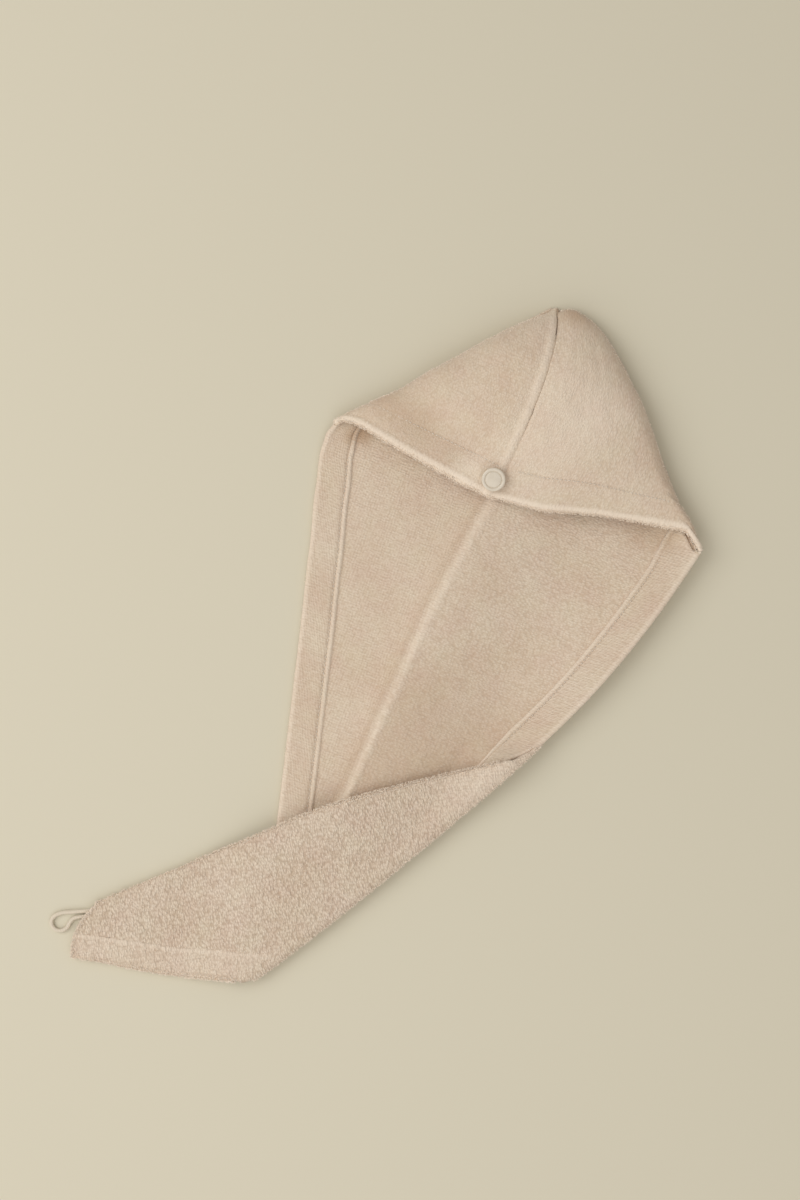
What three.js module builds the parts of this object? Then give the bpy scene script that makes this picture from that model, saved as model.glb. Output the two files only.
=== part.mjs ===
// Hair turban towel: one tapered piece of terry, folded at its centre crease and closed by a
// back seam into a hood. It lies on its back with the hood open towards the tail, and the tail
// is turned over once. A round button sits at the nape, and a cord loop at the tail's tip.
// Millimetres, +Z up. The peak of the hood points to +Y and the tail runs down to -Y.
import * as THREE from 'three';
import { mergeVertices } from 'three/addons/utils/BufferGeometryUtils.js';

// Cloth
const wall = 3;             // terry with its pile on both faces
const hemWall = 2;          // the edge turned in
const hemWidth = 26;
const hemNarrowing = 0.45;  // how much the tail's hems narrow where they near each other
const gap = 0.3;            // clearance between pieces that touch
const seamAllowance = 8;    // width of the raw edges inside the back seam
const allowanceWall = 1.6;

// Hood, in plan from its peak
const seamLength = 156;     // peak to nape
const hoodLeft = 131;       // peak to the left side corner, across
const hoodRight = 165;      // peak to the right side corner, across
const cornerDrop = 141;     // peak to both side corners, along
const hoodRise = 40;        // top of the open hood above the table
const napeRise = 24;        // top of its nape edge above the table
const peakRise = 8;         // top of its blunt peak above the table
const peakWidth = 11;       // the blunt end of the hood at its peak
const foldLift = 7;         // height of the hood's soft side folds
const seamDip = 1.6;        // how far the back seam draws the cloth in
const dentDepth = 4;        // valley in front of the nape hem, on the left

// Lower layer, in plan from the peak
const creaseRise = 12;      // height of the centre crease
const creaseSteep = 15;     // run of its steep left face
const creaseSlope = 85;     // run of its gentle right face
const leastField = 10;      // plain cloth between the hem and the crease, at least
const edgeLift = 14;        // height of the right hem above the table
const hemStart = 4;         // the side hems start this far below the corners
const turnAcross = 101;     // where the right hem meets the turned-over fold
const turnDrop = 319;
const heelLeft = 45;        // where the left hem meets the turned-over fold, left of the peak
const heelDrop = 565;
const turnInset = 7;        // how far the fold stands out from the cloth below it
const turnBow = 3.5;        // sideways bow of the fold

// Tail, in plan from the peak
const tipLeft = 180;        // left of the peak
const tipDrop = 573;
const tipWidth = 45;
const tipBulge = 6;
const settleStart = 5;      // past the left hem, where the tail starts down to the table
const settleRun = 60;       // how far it takes to reach the table
const tailEase = 1;         // how loosely the tail lies on the cloth below it

// Button and loop
const buttonDiameter = 18;
const buttonThickness = 3.6;
const buttonRim = 2.6;
const buttonDish = 0.9;
const buttonRound = 0.9;    // rounding of its edges
const buttonSetback = 16;   // button centre to the nape edge
const threadDiameter = 3.4;
const threadLength = 1.4;
const loopCord = 2.2;

// Where points of a plan curve lie: across to the right, and along from the peak to the tail
const plan = (across, along) => new THREE.Vector2(across, -along);

// Smooth step from 0 to 1
const ease = (share) => {
  const t = THREE.MathUtils.clamp(share, 0, 1);
  return t * t * (3 - 2 * t);
};

// Reads one column of a table at a place along it, with a smooth run between its rows
function readTable(table, place, column) {
  const last = table[table.length - 1];
  if (place <= table[0].at) return table[0][column];
  if (place >= last.at) return last[column];
  const next = table.findIndex((row) => row.at > place);
  const from = table[next - 1];
  const to = table[next];
  const share = ease((place - from.at) / (to.at - from.at));
  return THREE.MathUtils.lerp(from[column], to[column], share);
}

// Plan curves
const peak = plan(0, 0);
const nape = plan(0, seamLength);
const cornerLeft = plan(-hoodLeft, cornerDrop);
const cornerRight = plan(hoodRight, cornerDrop);
const turn = plan(turnAcross, turnDrop);
const heel = plan(-heelLeft, heelDrop);

const leftFold = new THREE.CubicBezierCurve(
  plan(-peakWidth / 2, 0),
  plan(-0.31 * hoodLeft, 0.27 * cornerDrop),
  plan(-0.67 * hoodLeft, 0.66 * cornerDrop),
  cornerLeft,
);
const rightFold = new THREE.CubicBezierCurve(
  plan(peakWidth / 2, 0),
  plan(0.27 * hoodRight, -0.13 * cornerDrop),
  plan(0.67 * hoodRight, 0.5 * cornerDrop),
  cornerRight,
);
const napeLeft = new THREE.CubicBezierCurve(
  nape,
  plan(-0.33 * hoodLeft, 0.95 * seamLength),
  plan(-0.69 * hoodLeft, 0.96 * cornerDrop),
  cornerLeft,
);
const napeRight = new THREE.CubicBezierCurve(
  nape,
  plan(0.36 * hoodRight, 0.955 * seamLength),
  plan(0.76 * hoodRight, 0.82 * cornerDrop),
  cornerRight,
);
const backSeam = new THREE.CubicBezierCurve(
  peak,
  plan(0.09 * hoodLeft, 0.27 * seamLength),
  plan(0.06 * hoodLeft, 0.67 * seamLength),
  nape,
);

// A nearly straight edge between two plan points, with its swing to the right given at both thirds
function edgeCurve(from, to, firstSwing, secondSwing) {
  const run = to.clone().sub(from);
  const right = new THREE.Vector2(-run.y, run.x).normalize();
  const third = (share, swing) => from.clone().addScaledVector(run, share).addScaledVector(right, swing);
  return new THREE.CubicBezierCurve(from, third(1 / 3, firstSwing), third(2 / 3, secondSwing), to);
}
const leftHemEdge = edgeCurve(cornerLeft, heel, -0.07 * hoodLeft, 0.05 * hoodLeft);
const rightHemEdge = edgeCurve(cornerRight, turn, 0.045 * hoodRight, 0.055 * hoodRight);

// The point of an edge curve at a distance along from the peak: these edges only run down
function acrossAt(curve, along) {
  let low = 0;
  let high = 1;
  for (let step = 0; step < 26; step += 1) {
    const middle = (low + high) / 2;
    if (-curve.getPoint(middle).y < along) low = middle;
    else high = middle;
  }
  return curve.getPoint(low).x;
}

// Turned-over fold: its line, the line where the cloth below it starts to rise, and its outside
const turnRun = heel.clone().sub(turn);
const turnOut = new THREE.Vector2(-turnRun.y, turnRun.x).normalize();
const turnStart = turn.clone().addScaledVector(turnOut, -turnInset);
const heelStart = heel.clone().addScaledVector(turnOut, -turnInset);
const turnLineAcross = (along) => {
  const share = (along + turnStart.y) / (turnStart.y - heelStart.y);
  const bow = 4 * turnBow * share * (1 - share) * Math.sign(Math.max(share, 0));
  return THREE.MathUtils.lerp(turnStart.x, heelStart.x, share) + bow;
};

// The lower layer's outline at a distance along from the peak
function leftEdgeAcross(along) {
  return along < cornerDrop ? acrossAt(leftFold, along) : acrossAt(leftHemEdge, along);
}
function rightEdgeAcross(along) {
  if (along < cornerDrop) return acrossAt(rightFold, along);
  const hem = acrossAt(rightHemEdge, Math.min(along, turnDrop));
  const turned = turnLineAcross(along) - 3 * gap;
  const reached = 1 + (along + turnStart.y + 3 * gap) / (2 * turnInset);
  return THREE.MathUtils.lerp(hem, turned, ease(reached));
}

// Centre crease, from the peak to the heel: at is a share of heelDrop, across of hoodLeft and
// rise of creaseRise
const creaseTable = [
  { at: 0.0, across: 0.0, rise: 0.0 },
  { at: 0.12, across: 0.03, rise: 0.12 },
  { at: 0.27, across: 0.02, rise: 0.7 },
  { at: 0.45, across: -0.1, rise: 1.0 },
  { at: 0.6, across: -0.15, rise: 0.95 },
  { at: 0.72, across: -0.19, rise: 0.75 },
  { at: 0.84, across: -0.25, rise: 0.25 },
  { at: 1.0, across: -0.36, rise: 0.05 },
];
const creaseAcross = (along) => {
  const table = creaseTable;
  const place = along / heelDrop;
  const next = Math.max(1, table.findIndex((row) => row.at > place));
  const to = place >= 1 ? table[table.length - 1] : table[next];
  const from = table[table.indexOf(to) - 1];
  const share = (place - from.at) / (to.at - from.at);
  return hoodLeft * THREE.MathUtils.lerp(from.across, to.across, Math.min(share, 1));
};

// How far the lower layer's two edges lift off the table: at is a share of cornerDrop in the hood
// and goes on past 1 down the side, lift is a share of foldLift on the left and edgeLift on the
// right, and run a share of hemWidth
const leftLiftTable = [
  { at: 0.0, lift: 0.3, run: 0.25 },
  { at: 0.5, lift: 1.0, run: 0.7 },
  { at: 0.95, lift: 0.6, run: 0.5 },
  { at: 1.25, lift: 0.0, run: 0.5 },
];
const rightLiftTable = [
  { at: 0.0, lift: 0.15, run: 0.25 },
  { at: 0.5, lift: 0.6, run: 0.9 },
  { at: 1.0, lift: 1.0, run: 1.8 },
  { at: 1.7, lift: 1.0, run: 2.4 },
  { at: 2.3, lift: 0.8, run: 2.0 },
  { at: 2.9, lift: 0.25, run: 1.6 },
  { at: 4.0, lift: 0.0, run: 1.6 },
];

// How high an edge lifts, at a distance in from it
function edgeRise(table, lift, along, inward) {
  const place = along / cornerDrop;
  const run = hemWidth * readTable(table, place, 'run');
  const share = THREE.MathUtils.clamp(1 - inward / run, 0, 1);
  return lift * readTable(table, place, 'lift') * share * share;
}

// Height of the lower layer's underside above the table
function lowerRise(across, along) {
  const fromCrease = across - creaseAcross(along);
  const run = fromCrease < 0 ? creaseSteep : creaseSlope;
  const crease = creaseRise * readTable(creaseTable, along / heelDrop, 'rise');
  const left = edgeRise(leftLiftTable, foldLift, along, across - leftEdgeAcross(along));
  const right = edgeRise(rightLiftTable, edgeLift, along, rightEdgeAcross(along) - across);
  return Math.max(crease * ease(1 - Math.abs(fromCrease) / run), left, right);
}
const lowerPoint = (across, along) => (
  new THREE.Vector3(across, -along, wall / 2 + lowerRise(across, along))
);

// Open hood. Its crest runs over the back seam from the peak at 0 to the nape edge at 1: the two
// middle heights, as shares of hoodRise, round it up from the peak and down to the nape
const crestSwells = [1.45, 0.98];
const crestHeights = new THREE.CubicBezierCurve(
  new THREE.Vector2(0, peakRise),
  new THREE.Vector2(1 / 3, crestSwells[0] * hoodRise),
  new THREE.Vector2(2 / 3, crestSwells[1] * hoodRise),
  new THREE.Vector2(1, napeRise),
);
const hoodFullness = { left: 1.9, right: 2.3 };   // how square the arch over each side is

// A row of the hood in plan: it leaves the back seam squarely and ends on the side fold
const squareRow = (seam, fold, out) => (
  new THREE.QuadraticBezierCurve(seam, new THREE.Vector2((seam.x + fold.x) / 2, seam.y), fold)
    .getPoint(out)
);

// A point of the hood's upper layer: side is left or right, arch runs from the back seam at 0 to
// the side fold at 1, and row from the peak at 0 to the nape edge at 1
function hoodPoint(side, arch, row) {
  const fold = (side === 'left' ? leftFold : rightFold).getPoint(row);
  const edge = (side === 'left' ? napeLeft : napeRight);
  const seam = backSeam.getPoint(row);
  const power = 2 / hoodFullness[side];
  const angle = THREE.MathUtils.clamp(arch, 0, 1) * Math.PI / 2;
  const out = Math.sin(angle) ** power;
  const up = Math.cos(angle) ** power;
  const along = -fold.y;
  const table = side === 'left' ? leftLiftTable : rightLiftTable;
  const lift = side === 'left' ? foldLift : edgeLift;
  const foldHeight = wall + edgeRise(table, lift, along, 0) + wall / 2 + gap;
  const crestHeight = crestHeights.getPoint(row).y - wall / 2;
  const spot = squareRow(seam, fold, out);
  const bowed = edge.getPoint(out).sub(squareRow(nape, edge.getPoint(1), out));
  spot.addScaledVector(bowed, row ** 3);
  spot.x += (side === 'left' ? -gap : gap) / 2;
  const fromSeam = out * Math.abs(fold.x - seam.x);
  const dip = seamDip * (1 - ease(fromSeam / (2 * seamAllowance)));
  const dentAcross = side === 'left' ? ease(out / 0.25) * ease((0.9 - out) / 0.3) : 0;
  const dentAlong = (row - 1) * seamLength / hemWidth + 1;
  const dent = dentDepth * dentAcross * ease(1 - Math.abs(dentAlong));
  const height = foldHeight + (crestHeight - foldHeight) * up - dip - dent;
  return new THREE.Vector3(spot.x, spot.y, height);
}

// Turned-over tail. Its upper edge is the right hem's, its lower edge the left hem's
const tipUpper = plan(0.05 * tipWidth - tipLeft, tipDrop - tipWidth / 2);
const tipLower = plan(-0.05 * tipWidth - tipLeft, tipDrop + tipWidth / 2);
const tailReach = turn.distanceTo(tipUpper);
const tailUpperEdge = edgeCurve(turnStart, tipUpper, -0.045 * tailReach, -0.035 * tailReach);
const tailLowerEdge = edgeCurve(heelStart, tipLower, 0.02 * tailReach, 0.025 * tailReach);

// Heights of the tail: what it lies on is the lower layer with its hem, then the table
const hemStack = hemWall + gap;
const tailOnTable = wall / 2 + hemStack;
const tailOnCloth = 1.5 * wall + 2 * hemStack + gap + tailEase;
function tailHeight(point) {
  const along = -point.y;
  const past = leftEdgeAcross(Math.min(along, heelDrop)) - point.x;
  const beyond = Math.max(0, along - heelDrop);
  const cover = 1 - ease((Math.hypot(Math.max(past, 0), beyond) - settleStart) / settleRun);
  const fromCrease = Math.abs(point.x - creaseAcross(along));
  const crease = creaseRise * readTable(creaseTable, along / heelDrop, 'rise')
    * ease(1 - fromCrease / creaseSlope);
  const below = Math.max(crease, lowerRise(point.x, along));
  return THREE.MathUtils.lerp(tailOnTable, below + tailOnCloth, cover);
}

// A point of the tail: side runs from the lower edge at 0 to the upper edge at 1, and row round
// the fold from 0 to 1 and on to the tip at 2
function tailPoint(side, row) {
  const bow = turnOut.clone().multiplyScalar(4 * turnBow * side * (1 - side));
  const start = heelStart.clone().lerp(turnStart, side).add(bow);
  if (row < 1) {
    const from = wall / 2 + lowerRise(start.x, -start.y);
    const to = tailHeight(start);
    const angle = Math.PI * row;
    const out = start.clone().addScaledVector(turnOut, turnInset * Math.sin(angle));
    return new THREE.Vector3(out.x, out.y, from + (to - from) * (1 - Math.cos(angle)) / 2);
  }
  const share = row - 1;
  const at = tailLowerEdge.getPoint(share).lerp(tailUpperEdge.getPoint(share), side);
  at.addScaledVector(bow, (1 - share) ** 3);
  at.x -= 4 * tipBulge * side * (1 - side) * share ** 8;
  return new THREE.Vector3(at.x, at.y, tailHeight(at));
}

// Closed sheet: a box's vertices moved on to a surface. place gives a point for a column and a
// row; low and high are how far the sheet's two faces lie from it, along its own normal
function sheet(columns, rows, place, low, high) {
  const step = 1e-3;
  const geometry = new THREE.BoxGeometry(1, 1, 1, columns.length - 1, rows.length - 1, 1);
  const spots = geometry.attributes.position;
  for (let index = 0; index < spots.count; index += 1) {
    const column = columns[Math.round((spots.getX(index) + 0.5) * (columns.length - 1))];
    const row = rows[Math.round((spots.getY(index) + 0.5) * (rows.length - 1))];
    const over = place(column + step, row).sub(place(column - step, row));
    const down = place(column, row + step).sub(place(column, row - step));
    const normal = down.cross(over).normalize();
    const point = place(column, row).addScaledVector(normal, spots.getZ(index) > 0 ? low : high);
    spots.setXYZ(index, point.x, point.y, point.z);
  }
  // The box's back face splits its squares the other way: it is turned to match, so that sheets
  // laid on each other nest facet on facet
  const back = geometry.groups[5];
  const corners = geometry.index;
  for (let first = back.start; first < back.start + back.count; first += 6) {
    const [a, b, c, d] = [0, 1, 4, 2].map((offset) => corners.getX(first + offset));
    [a, b, c, a, c, d].forEach((corner, offset) => corners.setX(first + offset, corner));
  }
  geometry.deleteAttribute('normal');
  geometry.deleteAttribute('uv');
  const closed = mergeVertices(geometry, 1e-4);
  closed.computeVertexNormals();
  return closed;
}

// Even stations between two values
const stations = (from, to, count) => (
  Array.from({ length: count + 1 }, (_, index) => THREE.MathUtils.lerp(from, to, index / count))
);

// Distances across a row: the hem's columns, the field, and the columns beside the crease. A row
// too short for them all draws them in
const creaseShares = [1, 0.62, 0.3, 0.08];
function leftColumnAcross(column, along) {
  const width = creaseAcross(along) - gap / 2 - leftEdgeAcross(along);
  const marks = [0, hemWidth / 4, hemWidth * 0.62, hemWidth];
  const ends = creaseShares.map((share) => creaseSteep * share);
  const need = hemWidth + creaseSteep + leastField;
  const scale = Math.min(1, width / need);
  const field = [1 / 3, 2 / 3].map((share) => (
    THREE.MathUtils.lerp(hemWidth * scale, width - creaseSteep * scale, share)
  ));
  const all = [
    ...marks.map((mark) => mark * scale), ...field,
    ...ends.map((end) => width - end * scale), width,
  ];
  const index = THREE.MathUtils.clamp(Math.floor(column), 0, all.length - 2);
  return leftEdgeAcross(along) + THREE.MathUtils.lerp(all[index], all[index + 1], column - index);
}
function rightColumnAcross(column, along) {
  const start = creaseAcross(along) + gap / 2;
  const width = rightEdgeAcross(along) - start;
  const need = hemWidth + creaseSteep + leastField;
  const scale = Math.min(1, width / need);
  const field = [1 / 5, 2 / 5, 3 / 5, 4 / 5].map((share) => (
    THREE.MathUtils.lerp(creaseSteep * scale * 0.5, width - hemWidth * scale, share)
  ));
  const all = [
    0, creaseSteep * scale * 0.16, creaseSteep * scale * 0.5, ...field,
    ...[1, 0.62, 0.3, 0].map((share) => width - hemWidth * scale * share),
  ];
  const index = THREE.MathUtils.clamp(Math.floor(column), 0, all.length - 2);
  return start + THREE.MathUtils.lerp(all[index], all[index + 1], column - index);
}
const leftPlace = (column, along) => lowerPoint(leftColumnAcross(column, along), along);
const rightPlace = (column, along) => lowerPoint(rightColumnAcross(column, along), along);

// Materials
const terry = new THREE.MeshStandardMaterial({ color: 0xe3cdb8, roughness: 0.95, metalness: 0 });
const hemTerry = new THREE.MeshStandardMaterial({ color: 0xe6d2bf, roughness: 0.95, metalness: 0 });
const shell = new THREE.MeshStandardMaterial({ color: 0xf0e8de, roughness: 0.35, metalness: 0 });
const cotton = new THREE.MeshStandardMaterial({ color: 0xe9ddcd, roughness: 0.85, metalness: 0 });

const towel = new THREE.Group();
function addPiece(name, geometry, material) {
  const piece = new THREE.Mesh(geometry, material);
  piece.name = name;
  towel.add(piece);
  return piece;
}

// Lower layer, in two halves that meet at the crease
const half = wall / 2;
const lowerStart = 2;
const turnRow = -turnStart.y - 3 * gap;
const rightHemEnd = turnDrop + 2 * hemWidth;   // it ends under the turned-over tail
const lowerEnd = heelDrop - 3 * turnInset;
const hoodRows = stations(lowerStart, cornerDrop, 7);
const sideRows = [
  ...stations(cornerDrop + hemStart, turnRow - 2 * turnInset, 8),
  turnRow - turnInset,
  ...stations(turnRow, rightHemEnd, 3),
  ...stations(rightHemEnd, lowerEnd, 9).slice(1),
];
const lowerRows = [...hoodRows, ...sideRows];
const lowerColumns = stations(0, 10, 10);   // the last of the columns that both halves list
addPiece('left_panel', sheet(lowerColumns, lowerRows, leftPlace, -half, half), terry);
addPiece('right_panel', sheet(lowerColumns, lowerRows, rightPlace, -half, half), terry);

// Side hems, turned in on the upper face of the lower layer
const hemLow = half + gap;
const hemHigh = hemLow + hemWall;
const hemRows = sideRows.slice(0, -1);
const rightHemRows = sideRows.filter((along) => along <= rightHemEnd);
addPiece('left_hem', sheet([0, 1, 2, 3], hemRows, leftPlace, hemLow, hemHigh), hemTerry);
addPiece('right_hem', sheet([7, 8, 9, 10], rightHemRows, rightPlace, hemLow, hemHigh), hemTerry);

// Hood's upper layer, in two quarters that meet at the back seam
const leftArch = [1, 0.93, 0.84, 0.74, 0.62, 0.5, 0.38, 0.27, 0.17, 0.09, 0.04, 0];
const rightArch = [...leftArch].reverse();
const napeRow = 1 - hemWidth / seamLength;
const upperRows = [0, 0.035, 0.08, 0.14, 0.22, 0.32, 0.43, 0.55, 0.65, 0.74, napeRow, 0.88, 0.94, 1];
const leftHood = (arch, row) => hoodPoint('left', Math.min(1 - arch, 0.999), row);
const rightHood = (arch, row) => hoodPoint('right', Math.min(arch, 0.999), row);
const leftTurned = leftArch.map((arch) => 1 - arch);
addPiece('hood_left', sheet(leftTurned, upperRows, leftHood, -half, half), terry);
addPiece('hood_right', sheet(rightArch, upperRows, rightHood, -half, half), terry);

// Nape hem, turned in under the hood's edge
const napeRows = upperRows.filter((row) => row >= napeRow);
const leftNapeArch = leftTurned.filter((arch) => arch > 0.1);
const rightNapeArch = rightArch.filter((arch) => arch < 0.9);
addPiece('nape_hem_left', sheet(leftNapeArch, napeRows, leftHood, -hemHigh, -hemLow), hemTerry);
addPiece('nape_hem_right', sheet(rightNapeArch, napeRows, rightHood, -hemHigh, -hemLow), hemTerry);

// Raw edges of the back seam, pressed to the left inside the hood
const allowanceArch = leftTurned.filter((arch) => arch > 0.9);
const allowanceRows = upperRows.filter((row) => row > 0.2 && row < napeRow);
const allowanceHigh = -hemLow;
const allowanceLow = allowanceHigh - allowanceWall;
const allowance = sheet(allowanceArch, allowanceRows, leftHood, allowanceLow, allowanceHigh);
addPiece('back_seam', allowance, hemTerry);

// Turned-over tail
const tailRowsRound = stations(0, 1, 6);
const tailRows = [...tailRowsRound, 1.05, 1.11, ...stations(1.18, 2, 13)];
const tailField = 7;
function tailSide(column, row) {
  const share = THREE.MathUtils.clamp(row - 1, 0, 1);
  const low = tailLowerEdge.getPoint(share);
  const high = tailUpperEdge.getPoint(share);
  const across = high.clone().sub(low);
  const length = across.length();
  across.normalize();
  const band = (curve) => {
    const slant = Math.abs(curve.getTangent(share).cross(across));
    return hemWidth / (slant * length + 2 * hemNarrowing * hemWidth);
  };
  const lowBand = band(tailLowerEdge);
  const highBand = 1 - band(tailUpperEdge);
  const all = [
    0, lowBand * 0.3, lowBand * 0.65,
    ...stations(lowBand, highBand, tailField),
    1 - (1 - highBand) * 0.65, 1 - (1 - highBand) * 0.3, 1,
  ];
  const index = THREE.MathUtils.clamp(Math.floor(column), 0, all.length - 2);
  return THREE.MathUtils.lerp(all[index], all[index + 1], column - index);
}
const tailPlace = (column, row) => tailPoint(tailSide(column, row), row);
const tailLast = tailField + 6;
const tailColumns = stations(0, tailLast, tailLast);
addPiece('tail', sheet(tailColumns, tailRows, tailPlace, -half, half), terry);

// Tail hems, turned in under the tail
const tailHemRows = tailRows.filter((row) => row > 1.04);
const lowerHemColumns = tailColumns.slice(0, 4);
const upperHemColumns = tailColumns.slice(-4);
const lowerTailHem = sheet(lowerHemColumns, tailHemRows, tailPlace, hemLow, hemHigh);
const upperTailHem = sheet(upperHemColumns, tailHemRows, tailPlace, hemLow, hemHigh);
addPiece('tail_hem_lower', lowerTailHem, hemTerry);
addPiece('tail_hem_upper', upperTailHem, hemTerry);

// Button: a round disc with a raised rim and a dished middle, on a thread shank
const buttonRow = 1 - buttonSetback / seamLength;
const buttonSeat = hoodPoint('left', 0, buttonRow);
const seatDown = hoodPoint('left', 0, buttonRow + 0.02)
  .sub(hoodPoint('left', 0, buttonRow - 0.02));
const seatNormal = new THREE.Vector3(0, seatDown.z, -seatDown.y).normalize();
const buttonRadius = buttonDiameter / 2;
const buttonProfile = [
  new THREE.Vector2(0, 0),
  new THREE.Vector2(buttonRadius - buttonRound, 0),
  new THREE.Vector2(buttonRadius, buttonRound),
  new THREE.Vector2(buttonRadius, buttonThickness - buttonRound),
  new THREE.Vector2(buttonRadius - 0.27 * buttonRim, buttonThickness - 0.2 * buttonRound),
  new THREE.Vector2(buttonRadius - 0.5 * buttonRim, buttonThickness),
  new THREE.Vector2(buttonRadius - buttonRim, buttonThickness - 0.3 * buttonDish),
  new THREE.Vector2(buttonRadius - 1.27 * buttonRim, buttonThickness - buttonDish),
  new THREE.Vector2(0, buttonThickness - buttonDish),
];
function seatPiece(name, geometry, material, lift) {
  geometry.deleteAttribute('normal');
  geometry.deleteAttribute('uv');
  const closed = mergeVertices(geometry, 1e-4);
  const piece = addPiece(name, closed, material);
  piece.position.copy(buttonSeat).addScaledVector(seatNormal, lift);
  piece.quaternion.setFromUnitVectors(new THREE.Vector3(0, 0, 1), seatNormal);
  return piece;
}
const buttonTurned = new THREE.LatheGeometry(buttonProfile, 28).rotateX(Math.PI / 2);
const threadPost = new THREE.CylinderGeometry(threadDiameter / 2, threadDiameter / 2, threadLength, 12)
  .rotateX(Math.PI / 2);
const threadLift = half + gap;
seatPiece('button_thread', threadPost, cotton, threadLift + threadLength / 2);
seatPiece('button', buttonTurned, shell, threadLift + threadLength + gap);

// Cord loop at the tip, lying on the table. These points are chosen by hand: across and along
// from the upper corner of the tip
const loopRoute = [
  [-7.4, 8.4], [-9.6, 9.2], [-13.0, 10.6], [-18.0, 12.2], [-22.6, 14.4], [-26.2, 17.6],
  [-27.6, 21.6], [-26.4, 25.2], [-23.4, 27.0], [-19.6, 26.6], [-16.2, 25.0], [-13.0, 23.4],
  [-11.2, 22.4], [-9.8, 21.8], [-8.6, 21.4],
].map(([across, along]) => (
  new THREE.Vector3(tipUpper.x + across, tipUpper.y - along, loopCord / 2 + gap)
));
const loopCurve = new THREE.CatmullRomCurve3(loopRoute, false, 'centripetal');
const cordSection = new THREE.Shape().absarc(0, 0, loopCord / 2, 0, 2 * Math.PI);
const loopTube = new THREE.ExtrudeGeometry(cordSection, {
  steps: 26, curveSegments: 4, extrudePath: loopCurve,
});
addPiece('tail_loop', loopTube, cotton);

// The origin is on the table, under the middle of the cloth
const reach = new THREE.Box3();
for (const piece of towel.children) {
  if (piece.name !== 'tail_loop') reach.expandByObject(piece);
}
const middle = reach.getCenter(new THREE.Vector3());
towel.position.set(-middle.x, -middle.y, -reach.min.z);

export default towel;
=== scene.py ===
import math

import bmesh
import bpy
import numpy as np
from mathutils import Matrix, Vector, noise


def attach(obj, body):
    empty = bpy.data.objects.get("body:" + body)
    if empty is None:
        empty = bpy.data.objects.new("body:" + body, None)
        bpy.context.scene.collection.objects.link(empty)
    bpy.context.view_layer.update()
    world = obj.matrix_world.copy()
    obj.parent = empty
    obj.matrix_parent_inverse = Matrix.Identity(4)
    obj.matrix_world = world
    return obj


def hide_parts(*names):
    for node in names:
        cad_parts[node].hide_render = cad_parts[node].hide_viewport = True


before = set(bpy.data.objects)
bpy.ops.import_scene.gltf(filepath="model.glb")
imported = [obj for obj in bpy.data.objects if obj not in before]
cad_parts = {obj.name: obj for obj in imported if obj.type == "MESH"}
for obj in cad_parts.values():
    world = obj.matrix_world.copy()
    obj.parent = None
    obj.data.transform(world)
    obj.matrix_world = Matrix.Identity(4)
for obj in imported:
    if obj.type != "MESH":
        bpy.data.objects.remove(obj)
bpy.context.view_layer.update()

mm = 0.001


# Camera: a 50 mm lens straight above the table, turned to the photograph's angle.
def placed(name, data):
    """A new object with this data, put in the scene."""
    made = bpy.data.objects.new(name, data)
    bpy.context.scene.collection.objects.link(made)
    return made


camera_data = bpy.data.cameras.new("camera")
camera_data.lens = 50
camera_data.sensor_width = 36
camera = placed("camera", camera_data)
camera.location = (-27.3 * mm, 43.4 * mm, 1283 * mm)
camera.rotation_euler = (0, 0, math.radians(19.8))
bpy.context.scene.camera = camera
bpy.context.scene.view_settings.view_transform = "Standard"


# Cord loop: a thin soft cotton cord, caught under the tip of the tail, which slips over the
# button. It lies on the table in a small ring, and both its ends are sewn into the tip.
peak_x = 10.39 * mm         # the hood's peak in the frame
peak_y = 295.88 * mm
loop_cord = 3.0 * mm
loop_height = loop_cord / 2 + 0.3 * mm     # lies just clear of the table
tip_width = 45 * mm
tip_slant = 0.05
tip_middle = np.array((-180, 573)) * mm
tip_half = np.array((tip_slant, -0.5)) * tip_width
tip_upper = tip_middle + tip_half
tip_lower = tip_middle - tip_half
# The cord's way in plan, across and along from the tip's upper corner, in mm
loop_steps = (
    (2.1, 5), (-7.8, 9.4), (-16.3, 13.1), (-23.9, 16.9), (-28, 21.5),
    (-28.1, 26.1), (-24.7, 29.4), (-19.7, 29.6), (-15.8, 26.2), (-14.8, 21.7),
    (-13.2, 17.5), (-9.2, 14.6), (-2, 11.8),
)
loop_points = [
    Vector((
        peak_x + tip_upper[0] + across * mm,
        peak_y - tip_upper[1] - along * mm,
        loop_height,
    ))
    for across, along in loop_steps
]


def set_inputs(node, inputs):
    """Sets a node's inputs by name, with an underscore for each space."""
    for socket, value in inputs.items():
        node.inputs[socket.replace("_", " ")].default_value = value
    return node


def new_material(name, **inputs):
    """A material with its shader's inputs set, and what is needed to add nodes to it."""
    material = bpy.data.materials.new(name)
    material.use_nodes = True
    nodes, links = material.node_tree.nodes, material.node_tree.links
    return material, nodes, links, set_inputs(nodes["Principled BSDF"], inputs)


def add_node(nodes, kind, **inputs):
    """A shader node of a kind, with its inputs set."""
    return set_inputs(nodes.new("ShaderNode" + kind), inputs)


def two_tones(nodes, low, dark, high, light):
    """A ramp from a dark colour at low to a light one at high."""
    ramp = nodes.new("ShaderNodeValToRGB")
    for end, place, colour in zip(ramp.color_ramp.elements, (low, high), (dark, light)):
        end.position = place
        end.color = (*colour, 1)
    return ramp


def darker(colour, share):
    """A colour made darker, to a share of its light."""
    return [c * share for c in colour]


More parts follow.
